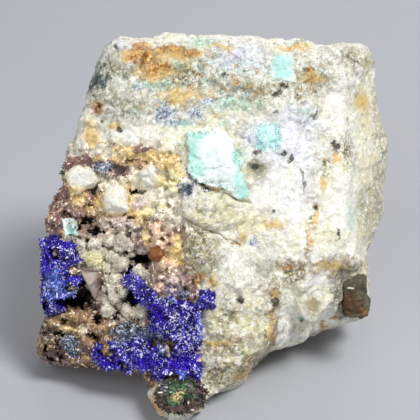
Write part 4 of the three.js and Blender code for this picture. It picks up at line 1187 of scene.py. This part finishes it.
    # Dusk and black here are partly painted shade in the earth's hollows.
    earth = rock.mix(earth, "dusk", (0.5 * fine + 0.5 * hollow).ramp(0.48, 0.6) * 0.7)
    earth = rock.mix(earth, "soot", (0.6 * fine + 0.4 * grain + 0.3 * hollow).ramp(0.74, 0.9) * 0.8)
    rock.lay(earth, earthy)

    relief = rock.facets(0.5, warped) + 0.9 * rock.facets(0.22) + 0.04 * speckle
    rock.bump(relief * (1 - 0.6 * clean.most(satin)), 1.0, 0.8)
    return rock.done(0.22 + 0.25 * small_grain + 0.3 * earthy, IOR=1.5)


def gossan_finish(name, own_share):
    """Earthy stone with lumps of other colours, and painted shade, dusk and black, in its hollows and
    pockets. Its crystals have their own shades.
    """
    stone = Finish(name)
    fine = stone.noise(0.4, 4, 0.65)
    speckle = stone.noise(0.16, 3, 0.7)
    torn = 0.6 * fine + 0.4 * speckle
    broad = stone.noise(1.6, 3, 0.6)
    grit = stone.cell_value(0.26, stone.warped(0.4, 0.3))
    lump = stone.cell_value(0.7, stone.warped(0.8, 0.6))
    hollow = stone.painted("hollow")

    stone.colour = stone.mix("gossan_brown", "plum", broad.ramp(0.4, 0.6))
    for kind in GROUNDS:
        stone.lay(kind, stone.patch("ground_" + kind, torn, 0.8, 0.2) * 0.9)
    for kind in LUMPS:
        stone.lay(kind, stone.patch(kind, torn, 0.7, 0.15) * 0.9)
    own = grit * (1 - own_share) + stone.painted("own") * own_share
    strange = stone.mix("plum", "gold", lump.ramp(0.4, 0.6))
    dusky = stone.patch("ground_dusk", torn, 0.6, 0.3)
    bright = stone.patch("ground_pale", torn, 0.6, 0.3)
    for kind in ("gold", "butter"):
        bright = bright.most(stone.patch("ground_" + kind, torn, 0.6, 0.3))
    odd = (own + 0.6 * (fine - 0.5)).ramp(0.55, 0.75)
    stone.lay(strange, odd * (0.4 - 0.25 * bright))
    # Pale specks: pale crystals and grains, with painted glints among them.
    light = (own + 0.5 * (speckle - 0.5)).ramp(0.84, 0.94)
    stone.lay("pale", light * (1 - 0.8 * dusky) * 0.8)
    stone.shade(0.8 + 0.5 * own + 0.7 * (speckle - 0.5))
    # Painted shade: dusk and black in the hollows of the relief, and black in the pockets.
    stone.lay("dusk", (hollow + 0.5 * (torn - 0.5)).ramp(0.5, 0.7) * (0.55 - 0.45 * bright))
    deep = (hollow + 0.5 * (fine - 0.5)).ramp(0.56, 0.78)
    stone.lay("soot", deep * (0.95 - 0.5 * bright))
    stone.lay("soot", (stone.painted("pocket") + 0.5 * (fine - 0.5)).ramp(0.3, 0.7) * 0.96)

    stone.bump(speckle * 0.6 + grit * 0.4, 0.09, 0.8)
    return stone.done(0.3 + 0.35 * fine)


def crystal_finish(name, deep, bright, pale, painted_glint_share, roughness=0.16):
    """Glossy crystals, each with its own shade between two colours, with a pale colour painted on some in
    groups as glints.
    """
    crystals = Finish(name)
    own = crystals.painted("own")
    fine = crystals.noise(0.5, 3, 0.6)
    groups = crystals.noise(0.9, 3, 0.65)
    crystals.colour = crystals.mix(deep, bright, (own * 0.45 + groups * 1.2).ramp(0.6, 1.0))
    # Painted shade in the gaps between clumps of crystals.
    gaps = crystals.noise(0.8, 3, 0.6, place=crystals.stretched(1, 1, 1.2))
    crystals.lay("ink", (gaps + 0.3 * (own - 0.5)).ramp(0.43, 0.33) * 0.85)
    crystals.stain("violet", fine, 0.5, 0.2, own.ramp(0.0, 0.4))
    crystals.stain("steel", fine, 0.5, 0.12, own.ramp(0.15, 0.5))
    crystals.stain("sky", fine, 0.8, 0.2, own.ramp(0.1, 0.5))
    glitter = crystals.patch("glitter", fine, 0.6, 0.3)
    share = painted_glint_share * groups.ramp(0.44, 0.58, 0.15, 2.0) + 0.24 * glitter
    share = share * (1 - 0.8 * crystals.patch("violet", fine, 0.5, 0.2))
    # Painted glints: the pale colour laid on a few crystals, most in groups and in the glitter patches.
    crystals.lay(pale, (own + share).ramp(0.99, 1.05))
    return crystals.done(roughness, IOR=1.8)


def knob_finish():
    """Dark crystals with mossy green, blue-grey and tan among them."""
    knob = Finish("knob_crust")
    own = knob.painted("own")
    fine = knob.noise(0.5, 4, 0.6)
    broad = knob.noise(1.3, 3, 0.6)
    grit = knob.cell_value(0.22, knob.warped(0.4, 0.3))
    shade = 0.5 * own + 0.6 * grit
    knob.colour = knob.mix("knob_dark", "dusk", (fine + 0.3 * broad).ramp(0.62, 0.72))
    knob.stain("moss", fine, 0.6, 0.3, shade.ramp(0.3, 0.5))
    knob.stain("moss", fine, 0.6, 0.3, shade.ramp(0.52, 0.6) * 0.7, "emerald")
    knob.stain("gilt", fine, 0.6, 0.3, shade.ramp(0.45, 0.6) * 0.8, "gold")
    knob.stain("steel", fine, 0.6, 0.2, shade.ramp(0.35, 0.7))
    knob.lay("tan", broad.ramp(0.58, 0.66) * shade.ramp(0.4, 0.8) * 0.45)
    # Painted glints: white on a few of the crystals.
    knob.lay("milk", own.ramp(0.97, 0.975))
    return knob.done(0.3)


def film_finish():
    """Pale copper minerals: almost white in the middle, green at the edges, with dark threads."""
    film = Finish("copper_film")
    fine = film.noise(0.35, 4, 0.6)
    speckle = film.noise(0.14, 3, 0.7)
    torn = 0.5 * fine + 0.5 * speckle
    wisps = film.noise(1.2, 4, 0.6, place=film.stretched(0.5, 1, 4))
    film.colour = film.mix("snow", "turquoise", (0.6 * wisps + 0.5 * torn).ramp(0.56, 0.75) * 0.4)
    film.stain("mint", torn, 0.8, 0.4, 0.9, "turquoise")
    film.shade(0.98 + 0.3 * (speckle - 0.5))
    threads = film.threads(0.6, 0.035).most((speckle + 0.5 * fine).ramp(0.9, 0.95))
    film.stain("line", torn, 1.0, 0.3, threads * 0.8, "petrol")
    film.bump(film.facets(0.3) + 0.05 * speckle, 1.0, 0.35)
    return film.done(0.35, IOR=1.5)


def speckled_finish(name, body, speck, size, width):
    """A pale film with fine dark specks and threads, closest together along its edges."""
    film = Finish(name)
    fine = film.noise(0.35, 4, 0.65)
    speckle = film.noise(0.13, 3, 0.7)
    film.colour = film.mix(body, "snow", (0.6 * film.noise(0.9, 3) + 0.5 * speckle).ramp(0.5, 0.7) * 0.7)
    edge = film.patch("line", fine, 0.8, 0.35)
    threads = film.threads(size, width) * (fine + 0.2 * edge).ramp(0.45, 0.65)
    specks = (speckle + 0.06 * edge + 0.3 * (fine - 0.5)).ramp(0.58, 0.66)
    film.lay(speck, threads.most(specks) * 0.88)
    bare = (film.painted("border") + 1.2 * (fine - 0.5) + 0.5 * (speckle - 0.5)).ramp(0.85, 1.1)
    stone = film.mix("milk", "grey_quartz", speckle.ramp(0.4, 0.6))
    film.lay(stone, bare * 0.85)
    film.bump(film.facets(0.3) + 0.05 * speckle, 1.0, 0.5)
    return film.done(0.4, IOR=1.5)


def grain_finish(name, body, second, roughness, rim="gold", sharp=0.5, dirt_and_shade=0.85):
    """Cloudy quartz grains with rusty rims, with brown dirt and painted shade in their hollows."""
    grain = Finish(name)
    fine = grain.noise(0.3, 4, 0.65)
    speckle = grain.noise(0.14, 3, 0.7)
    torn = 0.5 * fine + 0.5 * speckle
    broad = grain.noise(1.0, 3, 0.6)
    cell = grain.cell_value(0.2, grain.warped(0.5, 0.3))
    hollow = grain.painted("hollow")
    grain.colour = grain.mix(body, second, (0.6 * broad + 0.5 * torn).ramp(0.46, 0.64))
    grain.stain("rim", torn, 0.9, 0.4, 0.9, rim)
    grain.stain("rusty", torn, 0.9, 0.3, 0.8, "rust_brown")
    grain.stain("glint", torn, 0.3, 0.2, 0.9, "pale")
    grain.stain("haze", torn, 0.9, 0.4, 0.16, "smoky")
    grain.shade(0.8 + 0.2 * cell + 0.6 * (speckle - 0.5))
    # In the hollows: brown dirt, darkening to black in the deepest as painted shade.
    grain.lay("gossan_brown", (hollow + 0.4 * (torn - 0.5)).ramp(0.56, 0.8) * dirt_and_shade)
    grain.lay("soot", (hollow + 0.4 * (torn - 0.5)).ramp(0.66, 0.88) * dirt_and_shade)
    grain.bump(sharp * grain.facets(0.3) + sharp * grain.facets(0.16) + 0.03 * speckle, 1.0, 0.8)
    return grain.done(roughness, IOR=1.5)


# Sizes and colours that a user may change


def colour_property(name, about, red, green, blue):
    settings = {"subtype": "COLOR", "size": 4, "min": 0, "max": 1, "default": tone(red, green, blue)}
    title = name.replace("_", " ").capitalize()
    return bpy.props.FloatVectorProperty(name=title, description=about, **settings)


def length_property(name, about, default):
    return bpy.props.FloatProperty(name=name, description=about, unit="LENGTH", default=default, min=0)


class SpecimenColours(bpy.types.PropertyGroup):
    """Colours of the minerals."""

    __annotations__ = {name: colour_property(name, *about) for name, about in COLOURS.items()}


class SpecimenSizes(bpy.types.PropertyGroup):
    """Sizes of the mesh."""

    rock_step: length_property("Rock step", "Spacing of the mesh on the rock", 0.4 * MM)
    gossan_step: length_property("Gossan step", "Spacing of the mesh on the gossan", 0.14 * MM)


# Operators


class SPECIMEN_OT_rock(bpy.types.Operator):
    """Breaks the surface of the host rock into chips and stains it"""

    bl_idname = "specimen.rock"
    bl_label = "Host Rock"

    def execute(self, context):
        shape = one_skin(from_cad("host_rock"), context.scene.specimen_sizes.rock_step / MM)
        smoothed(shape)
        self.make_finer(shape)
        across, up, out = face_frame(shape)
        # The front is all that lies less than 6 mm behind the face. It fades out over 2 mm more.
        ahead = share_of((out + 8) / 2)
        torn = shifted(shape, 1.5, 0.35)
        uneven = 0.4 * at_each(shape, lambda place: rough(place, 1.6))
        depths = depth_inside(GOSSAN, across, up) + uneven - 0.5
        swelling, cracks = self.swell(torn, ahead)
        relief = at_each(shape, lambda place: 0.3 * rough(place, 7) + broken(place, *ROCK_CHIPS))
        # The milky patches are smoother, and the sides and the back are broken into larger chips too.
        calm = 1 - 0.6 * share_of(2 * levels(STAINS["milk"], *torn)) * ahead
        back = at_each(shape, lambda place: broken(place, (0.5, 5.2, 8.4))) * share_of((-out - 7) / 12)
        # Under the gossan the rock is even, and sinks out of its way.
        heights = (relief * calm + swelling) * (1 - share_of(depths) * ahead)
        heights += back + 0.2 * (1 - ahead) - numpy.clip(depths, 0, 2) * ahead
        # The flat base keeps its place.
        resting = (facing(shape, (0, 0, -1)) > 0.95) & (at_each(shape, lambda place: place.z) < 0.2)
        push_out(shape, numpy.where(resting, 0, heights))
        for vertex in shape.verts:
            vertex.co.z = max(vertex.co.z, 0)

        paint(shape, STAINS, 0.45)
        winding = at_each(shape, lambda place: 3 * rough(place, 6, 4, 2.5)) * (1 - ahead)
        keep_values(shape, "gossan", 0.5 + (depths + winding) / 3)
        keep_values(shape, "behind", 1 - ahead)
        keep_values(shape, "crack", cracks * ahead)
        keep_hollows(shape, 12, 0.2)
        finished("host_rock_quartz", shape, "host_rock", rock_finish())
        return {"FINISHED"}

    def make_finer(self, shape):
        """Cuts the faces of the quartz on the front into smaller ones."""
        across, up, out = face_frame(shape)
        quartz = depth_inside(GOSSAN, across, up) < 0.6
        fine = quartz & (facing(shape, FACE_OUT) > 0.1) & (out > -12)
        shape.verts.index_update()
        edges = [edge for edge in shape.edges if all(fine[vertex.index] for vertex in edge.verts)]
        bmesh.ops.subdivide_edges(shape, edges=edges, cuts=2, use_grid_fill=True)

    def swell(self, torn, ahead):
        """The height of the swellings less the depth of the cracks, and how near each vertex is to one."""
        swelling = numpy.zeros(len(ahead))
        for *oval, rise in SWELLINGS:
            swelling += rise * share_of(1.3 - reach_of(oval, *torn) ** 2) * ahead
        cracks = numpy.zeros(len(ahead))
        for points, width, depth in CRACKS:
            near = share_of(1 - gap_to_line(points, *torn) / width / 1.5)
            swelling -= depth * near * ahead
            cracks = numpy.maximum(cracks, near)
        return swelling, cracks


class SPECIMEN_OT_gossan(bpy.types.Operator):
    """Covers the lower left of the front with the gossan's lumps and grains"""

    bl_idname = "specimen.gossan"
    bl_label = "Gossan Relief"

    def execute(self, context):
        ground = self.ground()
        lumps = self.lumps()
        big = pebble(3, 10, 2, 0.26, 0.4)
        join_in(lumps, strewn(ground, big, 0.5, (0.5, 0.5, 0.5), (1.5, 1.2, 1.4), lean=0.6, seed=11))
        small = pebble(8, 7, 1, 0.3, 0.44)
        fine = strewn(ground, small, 3, (0.2, 0.2, 0.2), (0.6, 0.5, 0.5), lean=1.2, seed=21)
        bmesh.ops.solidify(ground, geom=ground.faces, thickness=0.6 * MM)
        join_in(ground, lumps)
        join_in(ground, fine)
        shape = one_skin(ground, context.scene.specimen_sizes.gossan_step / MM)
        push_out(shape, at_each(shape, lambda place: broken(place, (0.3, 0.9, 3.3), (0.35, 0.4, 6.1))))
        pockets = numpy.zeros(len(shape.verts))
        torn = shifted(shape, 0.7, 0.5)
        for *oval, depth in POCKETS:
            pockets = numpy.maximum(pockets, depth * share_of(1.4 - reach_of(oval, *torn)))
        draw_back(shape, FACE_OUT, pockets)
        tuck_in(shape)
        self.paint_stone(shape, pockets)
        keep_hollows(shape, 40, 0.5)
        stone = finished("gossan_relief", shape, "host_rock", gossan_finish("gossan", 0.0))

        everywhere = ((-8, 13.5, 9, 12),)  # one oval round the whole gossan
        sizes = (0.1, 0.1, 0.1), (0.34, 0.3, 0.4)
        shape = grown_on(stone, everywhere, splinter(), 7, *sizes, lean=1.2, seed=77)
        nowhere = numpy.zeros(len(shape.verts))
        self.paint_stone(shape, nowhere)
        keep_values(shape, "hollow", nowhere + 0.4)
        finish = gossan_finish("gossan_crystals", 1.0)
        finished("gossan_crystals", shape, "host_rock", finish)
        return {"FINISHED"}

    def ground(self):
        """The surface of the rock that the gossan covers."""
        ground = one_skin(from_cad("host_rock"), 0.45)
        across, up, out = face_frame(ground)
        ahead = (facing(ground, FACE_OUT) > 0.1) & (out > -6)
        aside = (facing(ground, (-1, 0, 0)) > 0.3) & (out > -8)
        keep_where(ground, (depth_inside(GOSSAN, across, up) > -0.3) & (ahead | aside))
        return ground

    def lumps(self):
        """The larger lumps, each of a few joined grains."""
        rock = front_of("host_rock")
        draw = random.Random(5)
        lumps = bmesh.new()
        for across, up, half_width, half_height, rise in sum(LUMPS.values(), ()):
            for _ in range(6):
                turn = draw.uniform(0, math.tau)
                away = draw.uniform(0.1, 0.75)
                at_across = across + half_width * away * math.cos(turn)
                at = (at_across, up + half_height * away * math.sin(turn))
                if hit_on(rock, *at) is None:
                    continue
                share = draw.uniform(0.6, 1.1)
                grain = pebble(draw.random(), 10, 2, 0.28, 0.42)
                sizes = (half_width * share, half_height * share, rise * draw.uniform(1.6, 2.6))
                set_down(grain, place_on(rock, *at), sizes, turn)
                join_in(lumps, grain)
        return lumps

    def paint_stone(self, shape, pockets):
        """Stores where the colours of the ground and the lumps go, and how deep the pockets are."""
        paint(shape, GROUNDS, 0.5, "ground_")
        paint(shape, LUMPS, 0.3)
        keep_values(shape, "pocket", pockets)


class SPECIMEN_OT_linarite(bpy.types.Operator):
    """Grows the blue crystals on each linarite crust"""

    bl_idname = "specimen.linarite"
    bl_label = "Linarite Crusts"

    def execute(self, context):
        finish = crystal_finish("linarite", "linarite_deep", "linarite_bright", "linarite_pale", 0.21)
        crusts = ("main_crust", "edge_crust", "vug_cluster", "small_cluster")
        for number, crust in enumerate(crusts):
            node = f"linarite_{crust}"
            shape = one_skin(from_cad(node), CRUST_STEP)
            toward = facing(shape, FACE_OUT)
            # The rim winds in and out, but not at the chunk's left edge.
            edge = (1 - numpy.abs(toward)) * at_each(shape, lambda place: 0.7 * rough(place, 0.9, 4))
            edge *= share_of((face_frame(shape)[0] + 15.6) / 0.8)
            behind = numpy.where(toward < -0.3, 0.3, 0)
            clumps = at_each(shape, lambda place: broken(place, (0.6, 1.1, 2.2)) + 0.7 * rough(place, 1.0))
            if crust == "small_cluster":
                clumps -= 0.12
            push_out(shape, clumps + behind + edge)
            # In the gaps the crust sinks into the stone.
            bare = share_of(2 * levels(GAPS, *shifted(shape, 0.8, 0.35)) + 0.5)
            draw_back(shape, FACE_OUT * 1.5, bare)
            tuck_in(shape)
            if crust == "main_crust":
                draw_back(shape, FACE_RIGHT, numpy.maximum(face_frame(shape)[0] + 1.3, 0) * 0.6)
            keep_values(shape, "own", at_each(shape, lambda place: 0.3 + 0.4 * rough(place, 0.25, 2)))
            ground = shape.copy()
            keep_where(ground, (facing(ground, FACE_OUT) > -0.35) & (bare < 0.4))
            for per_mm2, smallest, largest, lean, seed in BLADES:
                seed += 7 * number
                join_in(shape, strewn(ground, blade(), per_mm2, smallest, largest, lean, seed))
            ground.free()
            paint(shape, SHADES, 0.3)
            finished(f"{node}_crystals", shape, node, finish)
        return {"FINISHED"}


class SPECIMEN_OT_strays(bpy.types.Operator):
    """Settles loose blue, grey, white and green crystals on the gossan"""

    bl_idname = "specimen.strays"
    bl_label = "Stray Crystals"

    def execute(self, context):
        for number, (kind, rows) in enumerate(STRAYS.items()):
            *colours, per_mm2, longest = STRAY_KINDS[kind]
            stone = bpy.data.objects["host_rock_quartz" if kind == "petrol" else "gossan_relief"]
            smallest = (0.08, 0.08, longest * 0.4)
            largest = (longest * 0.5, longest * 0.45, longest)
            seed = 60 + 9 * number
            shape = grown_on(stone, rows, blade(), per_mm2, smallest, largest, 0.9, seed)
            paint(shape, {name: () for name in SHADES})
            finish = crystal_finish(f"{kind}_crystals", *colours, 0.2)
            finished(f"{kind}_strays", shape, "host_rock", finish)
        return {"FINISHED"}


class SPECIMEN_OT_films(bpy.types.Operator):
    """Makes the turquoise plate and the pale green and blue films on the quartz"""

    bl_idname = "specimen.films"
    bl_label = "Plate and Films"

    def execute(self, context):
        plate = film_finish()
        upper = speckled_finish("aqua_film", "aqua", "turquoise", 0.8, 0.03)
        lower = speckled_finish("speckled_film", "aqua", "speck_blue", 0.55, 0.04)
        # Each has a CAD node, a slot, what it lies on, its thickness, how often it is evened out, how torn
        # its outline is, and its finish.
        pieces = (
            ("turquoise_plate", "turquoise", "host_rock_quartz", 0.36, 5, 0.4, plate),
            ("aqua_patch_upper", "aqua", "host_rock_quartz", 0.07, 1, 0.45, upper),
            ("aqua_patch_speckled", "aqua", "host_rock_quartz", 0.07, 1, 0.45, lower),
            ("mint_patch", "mint", "gossan_relief", 0.2, 5, 0.15, plate),
        )
        for node, slot, under, thick, evened, torn, finish in pieces:
            outline = front_of(node)
            cad = from_cad(node)
            corners = face_frame(cad).T
            cad.free()
            middle = corners.mean(axis=0)
            ground = shape_of(bpy.data.objects[under].data)
            near = numpy.all(abs(face_frame(ground).T - middle) < (4, 5, 3), axis=1)
            keep_where(ground, near & (facing(ground, FACE_OUT) > 0))
            covered = [hit_on(outline, *place) is not None for place in zip(*shifted(ground, 0.6, torn))]
            keep_where(ground, covered, any)
            for _ in range(evened):
                smoothed(ground)
            bmesh.ops.translate(ground, vec=FACE_OUT * thick * MM, verts=ground.verts)
            bmesh.ops.solidify(ground, geom=ground.faces, thickness=(thick + 0.3) * MM)
            shape = one_skin(ground, FILM_STEP)
            relief = at_each(shape, lambda place: broken(place, (0.15, 0.9, 5.5), (0.1, 0.35, 1.5)))
            push_out(shape, relief)
            across, up, _ = (face_frame(shape).T - middle).T
            half_width, half_height, _ = numpy.ptp(corners, axis=0) / 2
            keep_values(shape, "border", ((across / half_width) ** 4 + (up / half_height) ** 4) ** 0.25)
            paint(shape, FILM_SHADES, 0.25)
            finished(f"{node}_film", shape, node, finish)
        return {"FINISHED"}


class SPECIMEN_OT_grains(bpy.types.Operator):
    """Makes the cream grains, the white lump, the rose crystal, the limonite lump and the brown block"""

    bl_idname = "specimen.grains"
    bl_label = "Grains and Lumps"

    def execute(self, context):
        finishes = {
            "cream_quartz": grain_finish("cream_quartz", "milk", "pale", 0.3, sharp=0.35, dirt_and_shade=0.1),
            "white_quartz": grain_finish("white_quartz", "milk", "cream", 0.3, "khaki", dirt_and_shade=0.15),
            "rose_crystal": grain_finish("rose_crystal", "rose", "ash", 0.3, "gossan_brown", 0.2),
            "limonite": grain_finish("limonite", "rust_brown", "umber", 0.45),
            "brown_block": grain_finish("olive_block", "olive_brown", "block_olive", 0.6, "umber", 0.35),
        }
        makers = {"cream_quartz": cream_grain, "rose_crystal": pyramid, "brown_block": block}
        rock = front_of("host_rock")
        for node, slot, (across, up), sizes, turn, sunk, wear in GRAINS:
            shape = makers.get(slot, stone_lump)(across)
            set_down(shape, place_on(rock, across, up, sizes[2] / 2 - sunk), sizes, turn)
            shape = one_skin(shape, STONE_STEP)
            relief = at_each(shape, lambda place: broken(place, (1, 1, 8.8), (0.5, 0.35, 1.1)))
            push_out(shape, wear * relief)
            paint(shape, GRAIN_SHADES, 0.3)
            keep_hollows(shape, 30, 0.3)
            finished(f"{node}_stone", shape, node, finishes[slot])
        return {"FINISHED"}


class SPECIMEN_OT_balls(bpy.types.Operator):
    """Makes the cluster of grey balls between the two blue crusts"""

    bl_idname = "specimen.balls"
    bl_label = "Grey Balls"

    def execute(self, context):
        rock = front_of("host_rock")
        draw = random.Random(17)
        shape = bmesh.new()
        for across, up, radius in BALLS:
            ball = pebble(draw.random(), 6, 3, 0.36, 0.46)
            sizes = [2 * radius * draw.uniform(0.8, 1.02) for _ in range(3)]
            set_down(ball, place_on(rock, across, up, radius * 0.6), sizes, draw.uniform(0, 6))
            join_in(shape, ball)
        small = pebble(5, 7, 1, 0.28, 0.42)
        join_in(shape, strewn(shape, small, 3, (0.15, 0.15, 0.15), (0.5, 0.45, 0.45), lean=1, seed=55))
        shape = one_skin(shape, STONE_STEP)
        grainy = 0.08 * at_each(shape, lambda place: grains(place, 0.2))
        push_out(shape, at_each(shape, lambda place: broken(place, (0.4, 0.4, 4.4))) + grainy)
        paint(shape, GRAIN_SHADES)
        keep_hollows(shape, 30, 0.2)
        sizes = (0.08, 0.08, 0.08), (0.26, 0.24, 0.26)
        join_in(shape, strewn(shape, splinter(), 9, *sizes, lean=1.2, seed=58))
        finish = grain_finish("grey_lumps", "ash", "pale", 0.5, "butter", dirt_and_shade=1.0)
        finished("grey_ball_cluster", shape, "grey_lump_cluster", finish)
        return {"FINISHED"}


class SPECIMEN_OT_knob(bpy.types.Operator):
    """Grows the green and black crystals on the knob at the foot"""

    bl_idname = "specimen.knob"
    bl_label = "Knob Crust"

    def execute(self, context):
        shape = one_skin(from_cad("knob_crust"), KNOB_STEP)
        lumps = at_each(shape, lambda place: broken(place, (0.3, 0.6, 2.9)) + 0.15 * rough(place, 0.5))
        push_out(shape, 0.2 + lumps)
        keep_values(shape, "own", [0.2 for _ in shape.verts])
        sizes = (0.12, 0.12, 0.15), (0.26, 0.22, 0.45)
        join_in(shape, strewn(shape, blade(), 12, *sizes, lean=1.2, seed=97))
        paint(shape, SHADES)
        finished("knob_crystals", shape, "knob_crust", knob_finish())
        return {"FINISHED"}


class SPECIMEN_OT_stage(bpy.types.Operator):
    """Sets up the pale floor, the studio lights and the camera"""

    bl_idname = "specimen.stage"
    bl_label = "Stage"

    def execute(self, context):
        shape = bmesh.new()
        bmesh.ops.create_grid(shape, x_segments=1, y_segments=1, size=1.2)
        floor = put_in_scene("floor", shape)
        pale = Finish("pale_floor")
        pale.colour = tone(176, 178, 184)
        floor.data.materials.append(pale.done(0.8 + 0.1 * pale.noise(20)))

        middle = (Vector(CAD_BOX[0]) + Vector(CAD_BOX[1])) / 2
        for name, (place, side, power) in LAMPS.items():
            lamp = bpy.data.lights.new(name, "AREA")
            lamp.size = side
            lamp.energy = power
            thing = linked(name, lamp)
            thing.location = on_face(*place)
            thing.rotation_euler = (middle - thing.location).to_track_quat("-Z", "Y").to_euler()

        world = bpy.data.worlds.new("studio")
        context.scene.world = world
        world.use_nodes = True
        sky = world.node_tree.nodes["Background"].inputs
        sky["Color"].default_value = tone(214, 216, 220)
        sky["Strength"].default_value = 0.3

        camera = bpy.data.cameras.new("camera")
        camera.lens = LENS
        camera.sensor_width = 36
        camera.clip_start = 0.01
        thing = linked("camera", camera)
        thing.location = on_face(*CAMERA_TARGET) + FACE_OUT * CAMERA_DISTANCE
        thing.rotation_euler = (math.pi / 2 - FACE_LEAN, 0, 0)
        context.scene.camera = thing
        context.scene.view_settings.view_transform = "Standard"
        return {"FINISHED"}


class SPECIMEN_PT_panel(bpy.types.Panel):
    """Lists the steps that build the specimen, with its sizes and colours"""

    bl_idname = "SPECIMEN_PT_panel"
    bl_label = "Linarite Specimen"
    bl_space_type = "VIEW_3D"
    bl_region_type = "UI"
    bl_category = "Specimen"

    def draw(self, context):
        for each in CLASSES:
            if issubclass(each, bpy.types.Operator):
                self.layout.operator(each.bl_idname)
        for group in (context.scene.specimen_sizes, context.scene.specimen_colours):
            for name in group.__annotations__:
                self.layout.prop(group, name)


CLASSES = (
    SpecimenColours,
    SpecimenSizes,
    SPECIMEN_OT_rock,
    SPECIMEN_OT_gossan,
    SPECIMEN_OT_linarite,
    SPECIMEN_OT_strays,
    SPECIMEN_OT_films,
    SPECIMEN_OT_grains,
    SPECIMEN_OT_balls,
    SPECIMEN_OT_knob,
    SPECIMEN_OT_stage,
    SPECIMEN_PT_panel,
)


def register():
    for each in CLASSES:
        bpy.utils.register_class(each)
    bpy.types.Scene.specimen_colours = bpy.props.PointerProperty(type=SpecimenColours)
    bpy.types.Scene.specimen_sizes = bpy.props.PointerProperty(type=SpecimenSizes)


def unregister():
    del bpy.types.Scene.specimen_sizes
    del bpy.types.Scene.specimen_colours
    for each in reversed(CLASSES):
        bpy.utils.unregister_class(each)


def main():
    register()
    bpy.ops.specimen.rock()
    bpy.ops.specimen.gossan()
    bpy.ops.specimen.linarite()
    bpy.ops.specimen.strays()
    bpy.ops.specimen.films()
    bpy.ops.specimen.grains()
    bpy.ops.specimen.balls()
    bpy.ops.specimen.knob()
    bpy.ops.specimen.stage()


if __name__ == "__main__":
    main()
